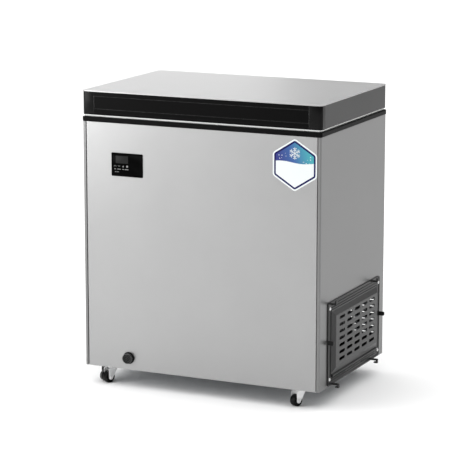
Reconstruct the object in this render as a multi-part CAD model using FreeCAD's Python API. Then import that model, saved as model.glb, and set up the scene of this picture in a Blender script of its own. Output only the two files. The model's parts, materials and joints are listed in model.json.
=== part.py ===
import FreeCAD, Part
import math
import os

from FreeCAD import Vector

# Chest freezer on swivel casters. Millimetres, +Z up. X runs left to right seen from the front,
# and Y runs from the front plane of the lid towards the back. Z is 0 at the cabinet's underside
# while the pieces are made. At the end every piece is moved together, so that the frame's origin
# is the middle of the whole freezer's bounding box, at floor level.

# ---------------------------------------------------------------- driving dimensions

LID_WIDTH = 750.0
LID_DEPTH = 498.0
LID_THICKNESS = 70.0
CABINET_HEIGHT = 726.5
GROUND_CLEARANCE = 56.0

SIDE_INSET = 2.0
FRONT_INSET = 1.5
SHEET = 1.0
FOAM_WALL = 60.0
CORNER_STRIP = 9.0
CORNER_RADIUS = 4.0
PANEL_GROOVE = 2.0
PANEL_FLANGE = 12.0

COLLAR_HEIGHT = 14.5
COLLAR_WALL = 4.0
COLLAR_TOP = 3.0
COLLAR_LIP = 2.0
LEDGE_WIDTH = 10.0
LEDGE_DROP = 8.0
COLLAR_ROUNDING = 3.0
LINER_CORNER = 20.0
LINER_FLOOR = 62.0
LINER_FLANGE = 8.0

COMPARTMENT_WIDTH = 213.0
COMPARTMENT_HEIGHT = 262.0
COMPARTMENT_FRONT = 24.0
STEP_FOAM = 40.0
STEP_SIDE_FOAM = 20.0
REAR_SLOT_BOTTOM = 60.0
REAR_SLOT_PITCH = 20.0
REAR_SLOT_HEIGHT = 7.0
TRAY_SHEET = 2.0

GASKET_HEIGHT = 6.0
GASKET_WIDTH = 12.0
GASKET_INSET = 5.0

LID_CORNER = 12.0
LID_SKIN = 0.8
LID_HEM = 3.0
TRIM_WALL = 2.5
CAP_WIDTH = 38.0
CAP_RETURN = 26.0
TOP_LIP = 16.0
BOTTOM_LIP = 17.5
GRIP_DEPTH = 20.0
LID_LINER = 2.0
LID_LINER_PANEL = 4.0

PANEL_LEFT_MARGIN = 93.0
PANEL_TOP_MARGIN = 85.2
PANEL_WIDTH = 100.5
PANEL_HEIGHT = 68.3
PANEL_BOSS_INSET = 4.0
BOX_INSET = 2.0
PANEL_CORNER = 3.0
PANEL_PROUD = 2.0
DISPLAY_X = 14.0
DISPLAY_Z = 38.0
DISPLAY_WIDTH = 40.0
DISPLAY_HEIGHT = 22.0
DISPLAY_SHEET = 1.2
CONTROL_BOX_DEPTH = 30.0
CONTROL_BOX_WALL = 1.5

BADGE_RIGHT_MARGIN = 12.0
BADGE_TOP_MARGIN = 7.0
BADGE_HEIGHT = 149.0
BADGE_SHOULDER = 42.0
BADGE_WIDTH = 133.5
BADGE_THICKNESS = 0.8

DRAIN_LEFT_MARGIN = 143.0
DRAIN_Z = 35.0
DRAIN_CAP_RADIUS = 17.0
DRAIN_CAP_LENGTH = 13.0
DRAIN_TUBE_RADIUS = 9.0
DRAIN_TUBE_WALL = 2.0
DRAIN_HOLE_BACK = 110.0
SPIGOT_RADIUS = 12.0
SPIGOT_END = 25.0
DRAIN_BEND = 18.0

VENT_FRONT_MARGIN = 55.5
VENT_BACK_MARGIN = 41.5
VENT_BOTTOM = 4.0
VENT_HEIGHT = 243.0
VENT_PLATE = 2.0
GRILLE_PROUD = 9.5
GRILLE_DRAFT = 14.0
GRILLE_END_MARGIN = 42.5
GRILLE_HEIGHT = 152.0
GRILLE_WALL = 2.0
GRILLE_FLANGE = 6.0
BEAD_RADIUS = 5.0
LOWER_SLOT_LENGTH = 125.0
LOWER_SLOT_RISE = 9.0
SLOT_PITCH_Y = 58.0
SLOT_PITCH_Z = 20.3
SLOT_LENGTH = 41.5
SLOT_HEIGHT = 6.6
SLOT_CENTRE_SHIFT = -6.0
SLOT_TOP_MARGIN = 12.0
HOOK_REACH = 25.0
HOOK_RISE = 12.0
HOOK_WIDTH = 9.0
HOOK_THICKNESS = 4.0
TOP_HOOK_INSETS = (5.0, 73.0)
BOTTOM_HOOK_INSETS = (27.0, 69.0)
TAB_REACH = 20.0
TAB_HEIGHT = 12.0
TAB_Z = 132.0
VENT_SCREW_INSET_Y = 12.0
VENT_SCREW_INSET_Z = 18.0

CASTER_INSET_LEFT = 64.0
CASTER_INSET_RIGHT = 78.0
CASTER_INSET_Y = 47.0
CASTER_TRAIL = 15.0
CASTER_TURN = -24.9
WHEEL_DIAMETER = 34.0
WHEEL_WIDTH = 20.0
WHEEL_ROUNDING = 4.0
AXLE_RADIUS = 3.0
FORK_SHEET = 1.6
FORK_GAP = 1.0
CASTER_PLATE = 2.5
RACE_HEIGHT = 5.5
RACE_RADIUS = 13.0
CROWN_RADIUS = 15.0
CROWN_HEIGHT = 2.5
KINGPIN_RADIUS = 4.0

HINGE_INSET = 130.0
HINGE_SETBACK = 14.0
HINGE_PIN_RADIUS = 3.0
HINGE_EYE = 8.0
HINGE_SHEET = 2.5
HINGE_WIDTH = 40.0
HINGE_PLATE_HEIGHT = 60.0
SPRING_WIRE = 1.1
SPRING_RADIUS = 6.0
SPRING_TURNS = 9

TUBE_RADIUS = 4.0
TUBE_BEND = 25.0
EVAPORATOR_PASSES = 6
CONDENSER_PASSES = 6

BASKET_WIDTH = 150.0
BASKET_DEPTH = 190.0
BASKET_WIRE = 2.0
BASKET_GAP = 8.0
BASKET_SLATS = 7
BASKET_RIBS = 9
BASKET_DROP = 14.0
BASKET_LAP = 3.0

COMPRESSOR_RADIUS = 60.0
COMPRESSOR_HEIGHT = 150.0
COMPRESSOR_SETBACK = 153.5
GROMMET_HEIGHT = 14.0

RUNNING_CLEARANCE = 0.05
FREE_CLEARANCE = 0.4

# ---------------------------------------------------------------- sizes that follow

CABINET_WIDTH = LID_WIDTH - 2 * SIDE_INSET
CABINET_DEPTH = LID_DEPTH - 1.0
HALF_CABINET = CABINET_WIDTH / 2
HALF_LID = LID_WIDTH / 2
FRONT = FRONT_INSET
BACK = FRONT_INSET + CABINET_DEPTH
COLLAR_BACK = BACK + FRONT_INSET
COLLAR_Z = CABINET_HEIGHT + COLLAR_HEIGHT
LID_Z = COLLAR_Z + GASKET_HEIGHT
LID_TOP = LID_Z + LID_THICKNESS
LEDGE_Z = COLLAR_Z - LEDGE_DROP
FLANGE_TOP = LEDGE_Z - COLLAR_TOP
PANEL_X = -HALF_CABINET + PANEL_LEFT_MARGIN
PANEL_Z = CABINET_HEIGHT - PANEL_TOP_MARGIN - PANEL_HEIGHT
BADGE_X = HALF_CABINET - BADGE_RIGHT_MARGIN - BADGE_WIDTH / 2
BADGE_TOP = CABINET_HEIGHT - BADGE_TOP_MARGIN
DRAIN_X = -HALF_CABINET + DRAIN_LEFT_MARGIN
DRAIN_HOLE_Y = FRONT + DRAIN_HOLE_BACK
COMPRESSOR_Y = BACK - COMPRESSOR_SETBACK
OPENING_X = HALF_CABINET - FOAM_WALL
OPENING_FRONT = FRONT + FOAM_WALL
OPENING_BACK = BACK - FOAM_WALL
COMPARTMENT_LEFT = HALF_CABINET - SHEET - COMPARTMENT_WIDTH
STEP_X = COMPARTMENT_LEFT - SHEET - STEP_SIDE_FOAM
STEP_Z = COMPARTMENT_HEIGHT + STEP_FOAM
TRIM_FACE = LID_SKIN
TRIM_TOP = LID_TOP - LID_SKIN
TRIM_SIDE = HALF_LID - LID_SKIN
CAP_INNER = HALF_LID - CAP_WIDTH - 0.5
TRIM_DEPTH = GRIP_DEPTH + TRIM_WALL
HINGE_Y = LID_DEPTH + HINGE_SETBACK
HINGE_Z = COLLAR_Z + GASKET_HEIGHT / 2
VENT_X = HALF_CABINET
VENT_FRONT = FRONT + VENT_FRONT_MARGIN
VENT_BACK = BACK - VENT_BACK_MARGIN
VENT_LENGTH = VENT_BACK - VENT_FRONT
GRILLE_LENGTH = VENT_LENGTH - 2 * GRILLE_END_MARGIN
SLOT_COLUMNS = int(GRILLE_LENGTH // SLOT_PITCH_Y)
SLOT_ROWS = int(GRILLE_HEIGHT // SLOT_PITCH_Z)
TOP_HOOKS_Y = (VENT_FRONT + TOP_HOOK_INSETS[0], VENT_BACK - TOP_HOOK_INSETS[1])
BOTTOM_HOOKS_Y = (VENT_FRONT + BOTTOM_HOOK_INSETS[0], VENT_BACK - BOTTOM_HOOK_INSETS[1])
VENT_TOP = VENT_BOTTOM + VENT_HEIGHT
VENT_MID_Y = VENT_FRONT + VENT_LENGTH / 2
VENT_MID_Z = VENT_BOTTOM + VENT_HEIGHT / 2
PLATE_FACE = VENT_X + VENT_PLATE
WHEEL_RADIUS = WHEEL_DIAMETER / 2
AXLE_Z = -GROUND_CLEARANCE + WHEEL_RADIUS
RACE_BOTTOM = -CASTER_PLATE - RACE_HEIGHT
CROWN_TOP = RACE_BOTTOM - FREE_CLEARANCE
CROWN_BOTTOM = CROWN_TOP - CROWN_HEIGHT
LEG_INNER = WHEEL_WIDTH / 2 + FORK_GAP
LEG_OUTER = LEG_INNER + FORK_SHEET
COMPRESSOR_X = COMPARTMENT_LEFT + COMPARTMENT_WIDTH / 2 - 8.0
BASKET_RIGHT = OPENING_X - COLLAR_LIP - BASKET_GAP

X_AXIS = Vector(1, 0, 0)
Y_AXIS = Vector(0, 1, 0)
Z_AXIS = Vector(0, 0, 1)

CASTER_PLACES = {
    "front_left": (-HALF_CABINET + CASTER_INSET_LEFT, FRONT + CASTER_INSET_Y),
    "front_right": (HALF_CABINET - CASTER_INSET_RIGHT, FRONT + CASTER_INSET_Y),
    "rear_left": (-HALF_CABINET + CASTER_INSET_LEFT, BACK - CASTER_INSET_Y),
    "rear_right": (HALF_CABINET - CASTER_INSET_RIGHT, BACK - CASTER_INSET_Y),
}
HINGE_PLACES = (-HALF_CABINET + HINGE_INSET, HALF_CABINET - HINGE_INSET)

nodes = {}

# ---------------------------------------------------------------- helpers


def block(x0, x1, y0, y1, z0, z1):
    """Box between two corners."""
    return Part.makeBox(x1 - x0, y1 - y0, z1 - z0, Vector(x0, y0, z0))


def rod(radius, start, end):
    """Straight round bar from one point to another."""
    return Part.makeCylinder(radius, (end - start).Length, start, end - start)


def runs_along(edge, axis):
    """True for a straight edge that is parallel to the axis."""
    if edge.Curve.TypeId != "Part::GeomLine":
        return False
    direction = edge.tangentAt(edge.FirstParameter)
    return abs(direction.dot(axis)) > 0.999


def round_edges(shape, radius, axis, keep=None):
    """Fillet the edges parallel to the axis whose middle passes the keep test."""
    chosen = []
    for edge in shape.Edges:
        if runs_along(edge, axis) and (keep is None or keep(edge.CenterOfMass)):
            chosen.append(edge)
    return shape.makeFillet(radius, chosen)


def rounded_block(x0, x1, y0, y1, z0, z1, radius):
    """Box with its four upright edges rounded."""
    return round_edges(block(x0, x1, y0, y1, z0, z1), radius, Z_AXIS)


def prism(points, direction):
    """Straight extrusion of a closed outline."""
    corners = [Vector(*point) for point in points]
    outline = Part.makePolygon(corners + [corners[0]])
    return Part.Face(outline).extrude(direction)


def frustum_y_z(x0, x1, y0, y1, z0, z1, draft):
    """Block that narrows by the draft on all four sides between x0 and x1."""
    wires = []
    for x, inset in ((x0, 0.0), (x1, draft)):
        corners = [
            Vector(x, y0 + inset, z0 + inset),
            Vector(x, y1 - inset, z0 + inset),
            Vector(x, y1 - inset, z1 - inset),
            Vector(x, y0 + inset, z1 - inset),
        ]
        wires.append(Part.makePolygon(corners + [corners[0]]))
    return Part.makeLoft(wires, True, True)


def bent_bar(points, bend, radius):
    """Round bar along straight runs that are joined by tangent arcs."""
    edges = []
    start = points[0]
    for before, corner, after in zip(points, points[1:], points[2:]):
        arriving = Vector(corner - before).normalize()
        leaving = Vector(after - corner).normalize()
        half_turn = arriving.getAngle(leaving) / 2
        cut_back = bend * math.tan(half_turn)
        arc_start = corner - arriving * cut_back
        arc_end = corner + leaving * cut_back
        inward = Vector(leaving - arriving).normalize()
        arc_middle = corner + inward * (bend / math.cos(half_turn) - bend)
        edges.append(Part.LineSegment(start, arc_start).toShape())
        edges.append(Part.Arc(arc_start, arc_middle, arc_end).toShape())
        start = arc_end
    edges.append(Part.LineSegment(start, points[-1]).toShape())
    section = Part.Wire(Part.makeCircle(radius, points[0], points[1] - points[0]))
    return Part.Wire(edges).makePipeShell([section], True, False)


def fuse_all(shapes):
    """One solid from several that overlap or touch."""
    return shapes[0].multiFuse(shapes[1:]).removeSplitter()


def cut_all(shape, tools):
    """The shape with every tool cut away."""
    for tool in tools:
        shape = shape.cut(tool)
    return shape


def pan_screw(place, direction, head_radius, head_height, shank_radius, shank_length):
    """Domed screw: the place is under the head and the direction points out of the head."""
    outward = Vector(direction).normalize()
    head = Part.makeCylinder(head_radius, head_height, place, outward)
    rim = [edge for edge in head.Edges if edge.CenterOfMass.sub(place).dot(outward) > head_height * 0.9]
    head = head.makeFillet(head_height * 0.6, rim)
    recess_place = place + outward * head_height * 0.6
    recess = Part.makeCylinder(head_radius * 0.35, head_height * 0.5, recess_place, outward)
    shank = Part.makeCylinder(shank_radius, shank_length, place, -outward)
    return fuse_all([head.cut(recess), shank])


def mirror_x(shape):
    """Left-hand copy of a right-hand piece."""
    return shape.mirror(Vector(0, 0, 0), X_AXIS)


# ---------------------------------------------------------------- cabinet shell


def side_sheet():
    """Right side panel: a C in plan, rounded at both upright corners, with an inner front flange."""
    inner_edge = HALF_CABINET - CORNER_STRIP
    outer = block(inner_edge, HALF_CABINET, FRONT, BACK, 0, CABINET_HEIGHT)
    outer = round_edges(outer, CORNER_RADIUS, Z_AXIS, lambda p: p.x > HALF_CABINET - 0.1)
    core_side = HALF_CABINET - SHEET
    core = block(inner_edge - 1, core_side, FRONT + SHEET, BACK - SHEET, -1, CABINET_HEIGHT + 1)
    core = round_edges(core, CORNER_RADIUS - SHEET, Z_AXIS, lambda p: p.x > core_side - 0.1)
    flange = block(inner_edge, inner_edge + SHEET, FRONT, FRONT + PANEL_FLANGE, 0, CABINET_HEIGHT)
    return fuse_all([outer.cut(core), flange])


def panel_block(inset, y0, y1):
    """Block behind or in front of the control panel, drawn in from its edges."""
    x1 = PANEL_X + PANEL_WIDTH
    return block(PANEL_X + inset, x1 - inset, y0, y1, PANEL_Z + inset, PANEL_Z + PANEL_HEIGHT - inset)


def front_sheet():
    """Front panel between the corner strips, with side flanges turned inwards."""
    half = HALF_CABINET - CORNER_STRIP - PANEL_GROOVE
    outer = block(-half, half, FRONT, FRONT + PANEL_FLANGE, 0, CABINET_HEIGHT)
    outer = round_edges(outer, 2 * SHEET, Z_AXIS, lambda p: p.y < FRONT + 0.1)
    core = block(-half + SHEET, half - SHEET, FRONT + SHEET, FRONT + PANEL_FLANGE + 1, -1, CABINET_HEIGHT + 1)
    core = round_edges(core, SHEET, Z_AXIS, lambda p: p.y < FRONT + SHEET + 0.1)
    window = panel_block(PANEL_BOSS_INSET, FRONT - 1, FRONT + 2 * SHEET)
    drain = Part.makeCylinder(SPIGOT_RADIUS, 4, Vector(DRAIN_X, FRONT - 1, DRAIN_Z), Y_AXIS)
    return cut_all(outer, [core, window, drain])


def panel_groove():
    """Open groove between the right corner strip and the front panel, as deep as their flanges."""
    x1 = HALF_CABINET - CORNER_STRIP
    return block(x1 - PANEL_GROOVE, x1, FRONT, FRONT + PANEL_FLANGE, 0, CABINET_HEIGHT)


def rear_sheet():
    """Rear panel between the rear returns of the side panels, vented behind the compressor."""
    half = HALF_CABINET - CORNER_STRIP
    sheet = block(-half, half, BACK - SHEET, BACK, 0, CABINET_HEIGHT)
    slots = []
    for row in range(int((COMPARTMENT_HEIGHT - 80.0) // REAR_SLOT_PITCH)):
        z = REAR_SLOT_BOTTOM + row * REAR_SLOT_PITCH
        slots.append(block(COMPARTMENT_LEFT + 25, half - 20, BACK - 3, BACK + 1, z, z + REAR_SLOT_HEIGHT))
    return cut_all(sheet, slots)


def vent_opening(x0, x1):
    """Rectangular air passage behind the grille."""
    half_length = GRILLE_LENGTH / 2 + GRILLE_DRAFT - GRILLE_WALL
    half_height = GRILLE_HEIGHT / 2 + GRILLE_DRAFT - GRILLE_WALL
    y0 = VENT_MID_Y - half_length
    z0 = VENT_MID_Z - half_height
    return block(x0, x1, y0, y0 + 2 * half_length, z0, z0 + 2 * half_height)


def compartment_walls():
    """Bent sheet that keeps the foam out of the compressor compartment."""
    side = HALF_CABINET - SHEET
    back = BACK - SHEET
    left = COMPARTMENT_LEFT
    front = COMPARTMENT_FRONT
    outer = block(left - SHEET, side, front - SHEET, back, TRAY_SHEET, COMPARTMENT_HEIGHT + SHEET)
    inner = block(left, side, front, back, TRAY_SHEET, COMPARTMENT_HEIGHT)
    return outer.cut(inner)


def tub(inset):
    """Solid of the storage space with its step over the compressor, grown outwards by the inset."""
    y0 = OPENING_FRONT - inset
    y1 = OPENING_BACK + inset
    deep = block(-OPENING_X - inset, STEP_X + inset, y0, y1, LINER_FLOOR - inset, FLANGE_TOP)
    shallow = block(STEP_X - 50, OPENING_X + inset, y0, y1, STEP_Z - inset, FLANGE_TOP)
    whole = deep.fuse(shallow).removeSplitter()
    return round_edges(whole, LINER_CORNER + inset, Z_AXIS)


def storage_liner():
    """Sheet-metal tub with an outward flange round its mouth and a drain hole in its floor."""
    flange = rounded_block(
        -OPENING_X - LINER_FLANGE,
        OPENING_X + LINER_FLANGE,
        OPENING_FRONT - LINER_FLANGE,
        OPENING_BACK + LINER_FLANGE,
        FLANGE_TOP - SHEET,
        FLANGE_TOP,
        LINER_CORNER + LINER_FLANGE,
    )
    shell = fuse_all([tub(SHEET), flange]).cut(tub(0).fuse(mouth_prism(0, FLANGE_TOP - 5, FLANGE_TOP + 5)))
    hole_start = Vector(DRAIN_X, DRAIN_HOLE_Y, LINER_FLOOR - 10)
    return shell.cut(Part.makeCylinder(DRAIN_TUBE_RADIUS, 20, hole_start))


def mouth_prism(grow, z0, z1):
    """Upright prism of the storage opening, grown outwards."""
    return rounded_block(
        -OPENING_X - grow,
        OPENING_X + grow,
        OPENING_FRONT - grow,
        OPENING_BACK + grow,
        z0,
        z1,
        LINER_CORNER + grow,
    )


def collar():
    """Plastic frame on the cabinet's rim: outer band, top, a ledge for the basket and an inner lip."""
    corner = CORNER_RADIUS + SIDE_INSET
    outer = rounded_block(-HALF_LID, HALF_LID, 0, COLLAR_BACK, CABINET_HEIGHT, COLLAR_Z, corner)
    rim = []
    for edge in outer.Edges:
        if abs(edge.CenterOfMass.z - COLLAR_Z) < 0.1 or abs(edge.CenterOfMass.z - CABINET_HEIGHT) < 0.1:
            rim.append(edge)
    outer = outer.makeFillet(COLLAR_ROUNDING, rim)
    under = block(
        -HALF_LID + COLLAR_WALL,
        HALF_LID - COLLAR_WALL,
        COLLAR_WALL,
        COLLAR_BACK - COLLAR_WALL,
        CABINET_HEIGHT - 1,
        COLLAR_Z - COLLAR_TOP,
    )
    ledge_block = mouth_prism(LEDGE_WIDTH + COLLAR_TOP, FLANGE_TOP, COLLAR_Z)
    lip_block = mouth_prism(0, CABINET_HEIGHT - 12, FLANGE_TOP)
    hollow = cut_all(under, [ledge_block, lip_block])
    lip = mouth_prism(0, CABINET_HEIGHT - 12, FLANGE_TOP + 1)
    ledge = mouth_prism(LEDGE_WIDTH, LEDGE_Z, COLLAR_Z + 1)
    throat = mouth_prism(-COLLAR_LIP, CABINET_HEIGHT - 20, COLLAR_Z + 1)
    return cut_all(outer.cut(hollow).fuse(lip), [ledge, throat]).removeSplitter()


# ---------------------------------------------------------------- front fittings


def control_bezel():
    """Glossy control panel: rounded face plate with a shallow pocket for the display window."""
    plate = round_edges(panel_block(0, FRONT - PANEL_PROUD, FRONT), PANEL_CORNER, Y_AXIS)
    boss = panel_block(PANEL_BOSS_INSET, FRONT, FRONT + SHEET)
    return fuse_all([plate, boss]).cut(display())


def display():
    """Smoked window of the temperature display, flush with the panel."""
    x0 = PANEL_X + DISPLAY_X
    y0 = FRONT - PANEL_PROUD
    z0 = PANEL_Z + DISPLAY_Z
    return block(x0, x0 + DISPLAY_WIDTH, y0, y0 + DISPLAY_SHEET, z0, z0 + DISPLAY_HEIGHT)


def control_box_walls():
    """Housing let into the foam behind the control panel."""
    y0 = FRONT + SHEET
    y1 = y0 + CONTROL_BOX_DEPTH
    hollow = panel_block(BOX_INSET + CONTROL_BOX_WALL, y0, y1 - CONTROL_BOX_WALL)
    return panel_block(BOX_INSET, y0, y1).cut(hollow)


def control_circuit():
    """Circuit board with its relay block, on the back of the control panel."""
    y0 = FRONT + SHEET
    board = panel_block(2 * PANEL_BOSS_INSET, y0, y0 + 1.6)
    relay = block(PANEL_X + 20, PANEL_X + 40, y0 + 1.6, y0 + 15, PANEL_Z + 18, PANEL_Z + 34)
    plug = block(PANEL_X + 55, PANEL_X + 85, y0 + 1.6, y0 + 11, PANEL_Z + 16, PANEL_Z + 24)
    return fuse_all([board, relay, plug])


def badge():
    """Thin six-sided label with a point at the top and at the bottom."""
    half = BADGE_WIDTH / 2
    bottom = BADGE_TOP - BADGE_HEIGHT
    points = [
        (BADGE_X, FRONT, BADGE_TOP),
        (BADGE_X + half, FRONT, BADGE_TOP - BADGE_SHOULDER),
        (BADGE_X + half, FRONT, bottom + BADGE_SHOULDER),
        (BADGE_X, FRONT, bottom),
        (BADGE_X - half, FRONT, bottom + BADGE_SHOULDER),
        (BADGE_X - half, FRONT, BADGE_TOP - BADGE_SHOULDER),
    ]
    return prism(points, Vector(0, -BADGE_THICKNESS, 0))


def drain_spigot():
    """Drain outlet through the front panel: flange, hollow spigot and a socket for the tube."""
    centre = Vector(DRAIN_X, 0, DRAIN_Z)
    flange = Part.makeCylinder(DRAIN_CAP_RADIUS + 1, 1.5, centre + Y_AXIS * (FRONT - 1.5), Y_AXIS)
    front_end = FRONT - DRAIN_CAP_LENGTH + 3
    spigot = Part.makeCylinder(SPIGOT_RADIUS, SPIGOT_END - front_end, centre + Y_AXIS * front_end, Y_AXIS)
    bore = Part.makeCylinder(DRAIN_TUBE_RADIUS, 60, centre + Y_AXIS * (front_end - 5), Y_AXIS)
    return fuse_all([flange, spigot]).cut(bore)


def drain_screw_cap():
    """Knurled cap over the drain spigot, closed in front."""
    centre = Vector(DRAIN_X, 0, DRAIN_Z)
    back = FRONT - 1.5 - FREE_CLEARANCE
    front = FRONT - DRAIN_CAP_LENGTH
    body = Part.makeCylinder(DRAIN_CAP_RADIUS, back - front, centre + Y_AXIS * front, Y_AXIS)
    rim = [edge for edge in body.Edges if abs(edge.CenterOfMass.y - front) < 0.1]
    body = body.makeFillet(2.5, rim)
    hollow_place = centre + Y_AXIS * (front + 2.5)
    hollow = Part.makeCylinder(SPIGOT_RADIUS + FREE_CLEARANCE, back - front, hollow_place, Y_AXIS)
    dish = Part.makeCylinder(DRAIN_CAP_RADIUS - 5, 1.0, centre + Y_AXIS * (front - 0.01), Y_AXIS)
    body = cut_all(body, [hollow, dish])
    grip = block(DRAIN_X - 2.0, DRAIN_X + 2.0, front, front + 2.0, DRAIN_Z - 11, DRAIN_Z + 11)
    notches = []
    count = 24
    for index in range(count):
        angle = 2 * math.pi * index / count
        x = DRAIN_X + DRAIN_CAP_RADIUS * math.cos(angle)
        z = DRAIN_Z + DRAIN_CAP_RADIUS * math.sin(angle)
        notches.append(Part.makeCylinder(0.9, back - front - 4, Vector(x, front + 3.5, z), Y_AXIS))
    return cut_all(body.fuse(grip), notches)


def drain_run(radius):
    """Round bar along the drain's route: down from the tub's floor and forward to the spigot."""
    points = [
        Vector(DRAIN_X, DRAIN_HOLE_Y, LINER_FLOOR - SHEET),
        Vector(DRAIN_X, DRAIN_HOLE_Y, DRAIN_Z),
        Vector(DRAIN_X, SPIGOT_END, DRAIN_Z),
    ]
    return bent_bar(points, DRAIN_BEND, radius)


def drain_hose():
    """Drain tube in the foam."""
    return drain_run(DRAIN_TUBE_RADIUS).cut(drain_run(DRAIN_TUBE_RADIUS - DRAIN_TUBE_WALL))


def floor_plug():
    """Tapered rubber plug in the tub's drain hole, with a pull ring."""
    seat = DRAIN_TUBE_RADIUS - DRAIN_TUBE_WALL - FREE_CLEARANCE
    base = Vector(DRAIN_X, DRAIN_HOLE_Y, LINER_FLOOR - SHEET - 5)
    stem = Part.makeCone(seat - 1, seat, 5 + SHEET + FREE_CLEARANCE, base)
    flange = Part.makeCylinder(
        DRAIN_TUBE_RADIUS + 5, 2.5, Vector(DRAIN_X, DRAIN_HOLE_Y, LINER_FLOOR + FREE_CLEARANCE)
    )
    ring = Part.makeTorus(6, 1.5, Vector(DRAIN_X, DRAIN_HOLE_Y, LINER_FLOOR + 8), Y_AXIS)
    return fuse_all([stem, flange, ring])


# ---------------------------------------------------------------- vent on the right side


def hook(y, z, up):
    """Cord hook that reaches out of the vent plate and turns up or down at its end."""
    side = 1 if up else -1
    arm = block(PLATE_FACE, VENT_X + HOOK_REACH, y, y + HOOK_WIDTH, z, z + HOOK_THICKNESS)
    x1 = VENT_X + HOOK_REACH
    tip_low = z if up else z + HOOK_THICKNESS - HOOK_RISE
    tip_high = z + HOOK_RISE if up else z + HOOK_THICKNESS
    tip = block(x1 - HOOK_THICKNESS, x1, y, y + HOOK_WIDTH, tip_low, tip_high)
    shape = fuse_all([arm, tip])
    corner_z = z if up else z + HOOK_THICKNESS
    shape = round_edges(shape, 3.5, Y_AXIS, lambda p: p.x > x1 - 0.1 and abs(p.z - corner_z) < 0.1)
    curl = None
    if side < 0:
        curl = block(x1 - 11, x1, y, y + HOOK_WIDTH, tip_low, tip_low + HOOK_THICKNESS)
        curl = round_edges(curl, 1.5, Y_AXIS)
    return shape if curl is None else fuse_all([shape, curl])


def vent_plate():
    """Plate round the grille with a raised border, cord hooks, side tabs and a lower slot."""
    plate = block(VENT_X, PLATE_FACE, VENT_FRONT, VENT_BACK, VENT_BOTTOM, VENT_TOP)
    plate = round_edges(plate, 6.0, X_AXIS)
    border = block(PLATE_FACE, PLATE_FACE + 1.5, VENT_FRONT, VENT_BACK, VENT_BOTTOM, VENT_TOP)
    border = round_edges(border, 6.0, X_AXIS)
    field = block(PLATE_FACE, PLATE_FACE + 1.5, VENT_FRONT + 3, VENT_BACK - 3, VENT_BOTTOM + 3, VENT_TOP - 3)
    field = round_edges(field, 3.0, X_AXIS)
    pieces = [plate, border.cut(field)]
    for y in TOP_HOOKS_Y:
        pieces.append(hook(y, VENT_TOP - HOOK_THICKNESS, True))
    for y in BOTTOM_HOOKS_Y:
        pieces.append(hook(y, VENT_BOTTOM, False))
    for y in (VENT_FRONT, VENT_BACK - HOOK_THICKNESS):
        tab_z = TAB_Z - TAB_HEIGHT / 2
        tab = block(VENT_X, VENT_X + TAB_REACH, y, y + HOOK_THICKNESS, tab_z, tab_z + TAB_HEIGHT)
        pieces.append(round_edges(tab, 3.0, Y_AXIS, lambda p: p.x > VENT_X + TAB_REACH - 0.1))
    bead_z = VENT_MID_Z - GRILLE_HEIGHT / 2 - GRILLE_DRAFT - BEAD_RADIUS - 0.5
    bead_start = Vector(PLATE_FACE, VENT_MID_Y - GRILLE_LENGTH / 2 - GRILLE_DRAFT, bead_z)
    bead = Part.makeCylinder(BEAD_RADIUS, GRILLE_LENGTH + 2 * GRILLE_DRAFT, bead_start, Y_AXIS)
    keep = block(PLATE_FACE - 1, PLATE_FACE + 10, VENT_FRONT, VENT_BACK, VENT_BOTTOM, VENT_TOP)
    pieces.append(bead.common(keep))
    frame = fuse_all(pieces)
    slot_z = VENT_BOTTOM + LOWER_SLOT_RISE
    slot_y = VENT_MID_Y - LOWER_SLOT_LENGTH / 2
    lower_slot = block(VENT_X - 1, PLATE_FACE + 1, slot_y, slot_y + LOWER_SLOT_LENGTH, slot_z, slot_z + 6)
    return cut_all(frame, [vent_opening(VENT_X - 1, PLATE_FACE + 0.01), lower_slot])


def slot_cut(y, z):
    """Cutter for one round-ended air slot."""
    half = (SLOT_LENGTH - SLOT_HEIGHT) / 2
    x0 = PLATE_FACE
    reach = GRILLE_PROUD + 5
    middle = block(x0, x0 + reach, y - half, y + half, z - SLOT_HEIGHT / 2, z + SLOT_HEIGHT / 2)
    ends = []
    for end in (y - half, y + half):
        ends.append(Part.makeCylinder(SLOT_HEIGHT / 2, reach, Vector(x0, end, z), X_AXIS))
    return fuse_all([middle] + ends)


def grille():
    """Raised air grille with sloping walls, a base flange and rows of slots."""
    base_y0 = VENT_MID_Y - GRILLE_LENGTH / 2 - GRILLE_DRAFT
    base_y1 = VENT_MID_Y + GRILLE_LENGTH / 2 + GRILLE_DRAFT
    base_z0 = VENT_MID_Z - GRILLE_HEIGHT / 2 - GRILLE_DRAFT
    base_z1 = VENT_MID_Z + GRILLE_HEIGHT / 2 + GRILLE_DRAFT
    face = PLATE_FACE + GRILLE_PROUD
    outer = frustum_y_z(PLATE_FACE, face, base_y0, base_y1, base_z0, base_z1, GRILLE_DRAFT)
    wall = GRILLE_WALL
    inner = frustum_y_z(
        PLATE_FACE - 0.01,
        face - wall,
        base_y0 + wall,
        base_y1 - wall,
        base_z0 + wall,
        base_z1 - wall,
        GRILLE_DRAFT,
    )
    flange_y = (base_y0 - GRILLE_FLANGE, base_y1 + GRILLE_FLANGE)
    flange = block(PLATE_FACE, PLATE_FACE + 1.2, *flange_y, base_z0 + 4, base_z1 + GRILLE_FLANGE)
    middle_y = VENT_MID_Y + SLOT_CENTRE_SHIFT
    top_row = VENT_MID_Z + GRILLE_HEIGHT / 2 - SLOT_TOP_MARGIN
    cutters = [inner]
    for row in range(SLOT_ROWS):
        for column in range(SLOT_COLUMNS):
            y = middle_y + (column - (SLOT_COLUMNS - 1) / 2) * SLOT_PITCH_Y
            cutters.append(slot_cut(y, top_row - row * SLOT_PITCH_Z))
    return cut_all(fuse_all([outer, flange]), cutters)


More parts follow.
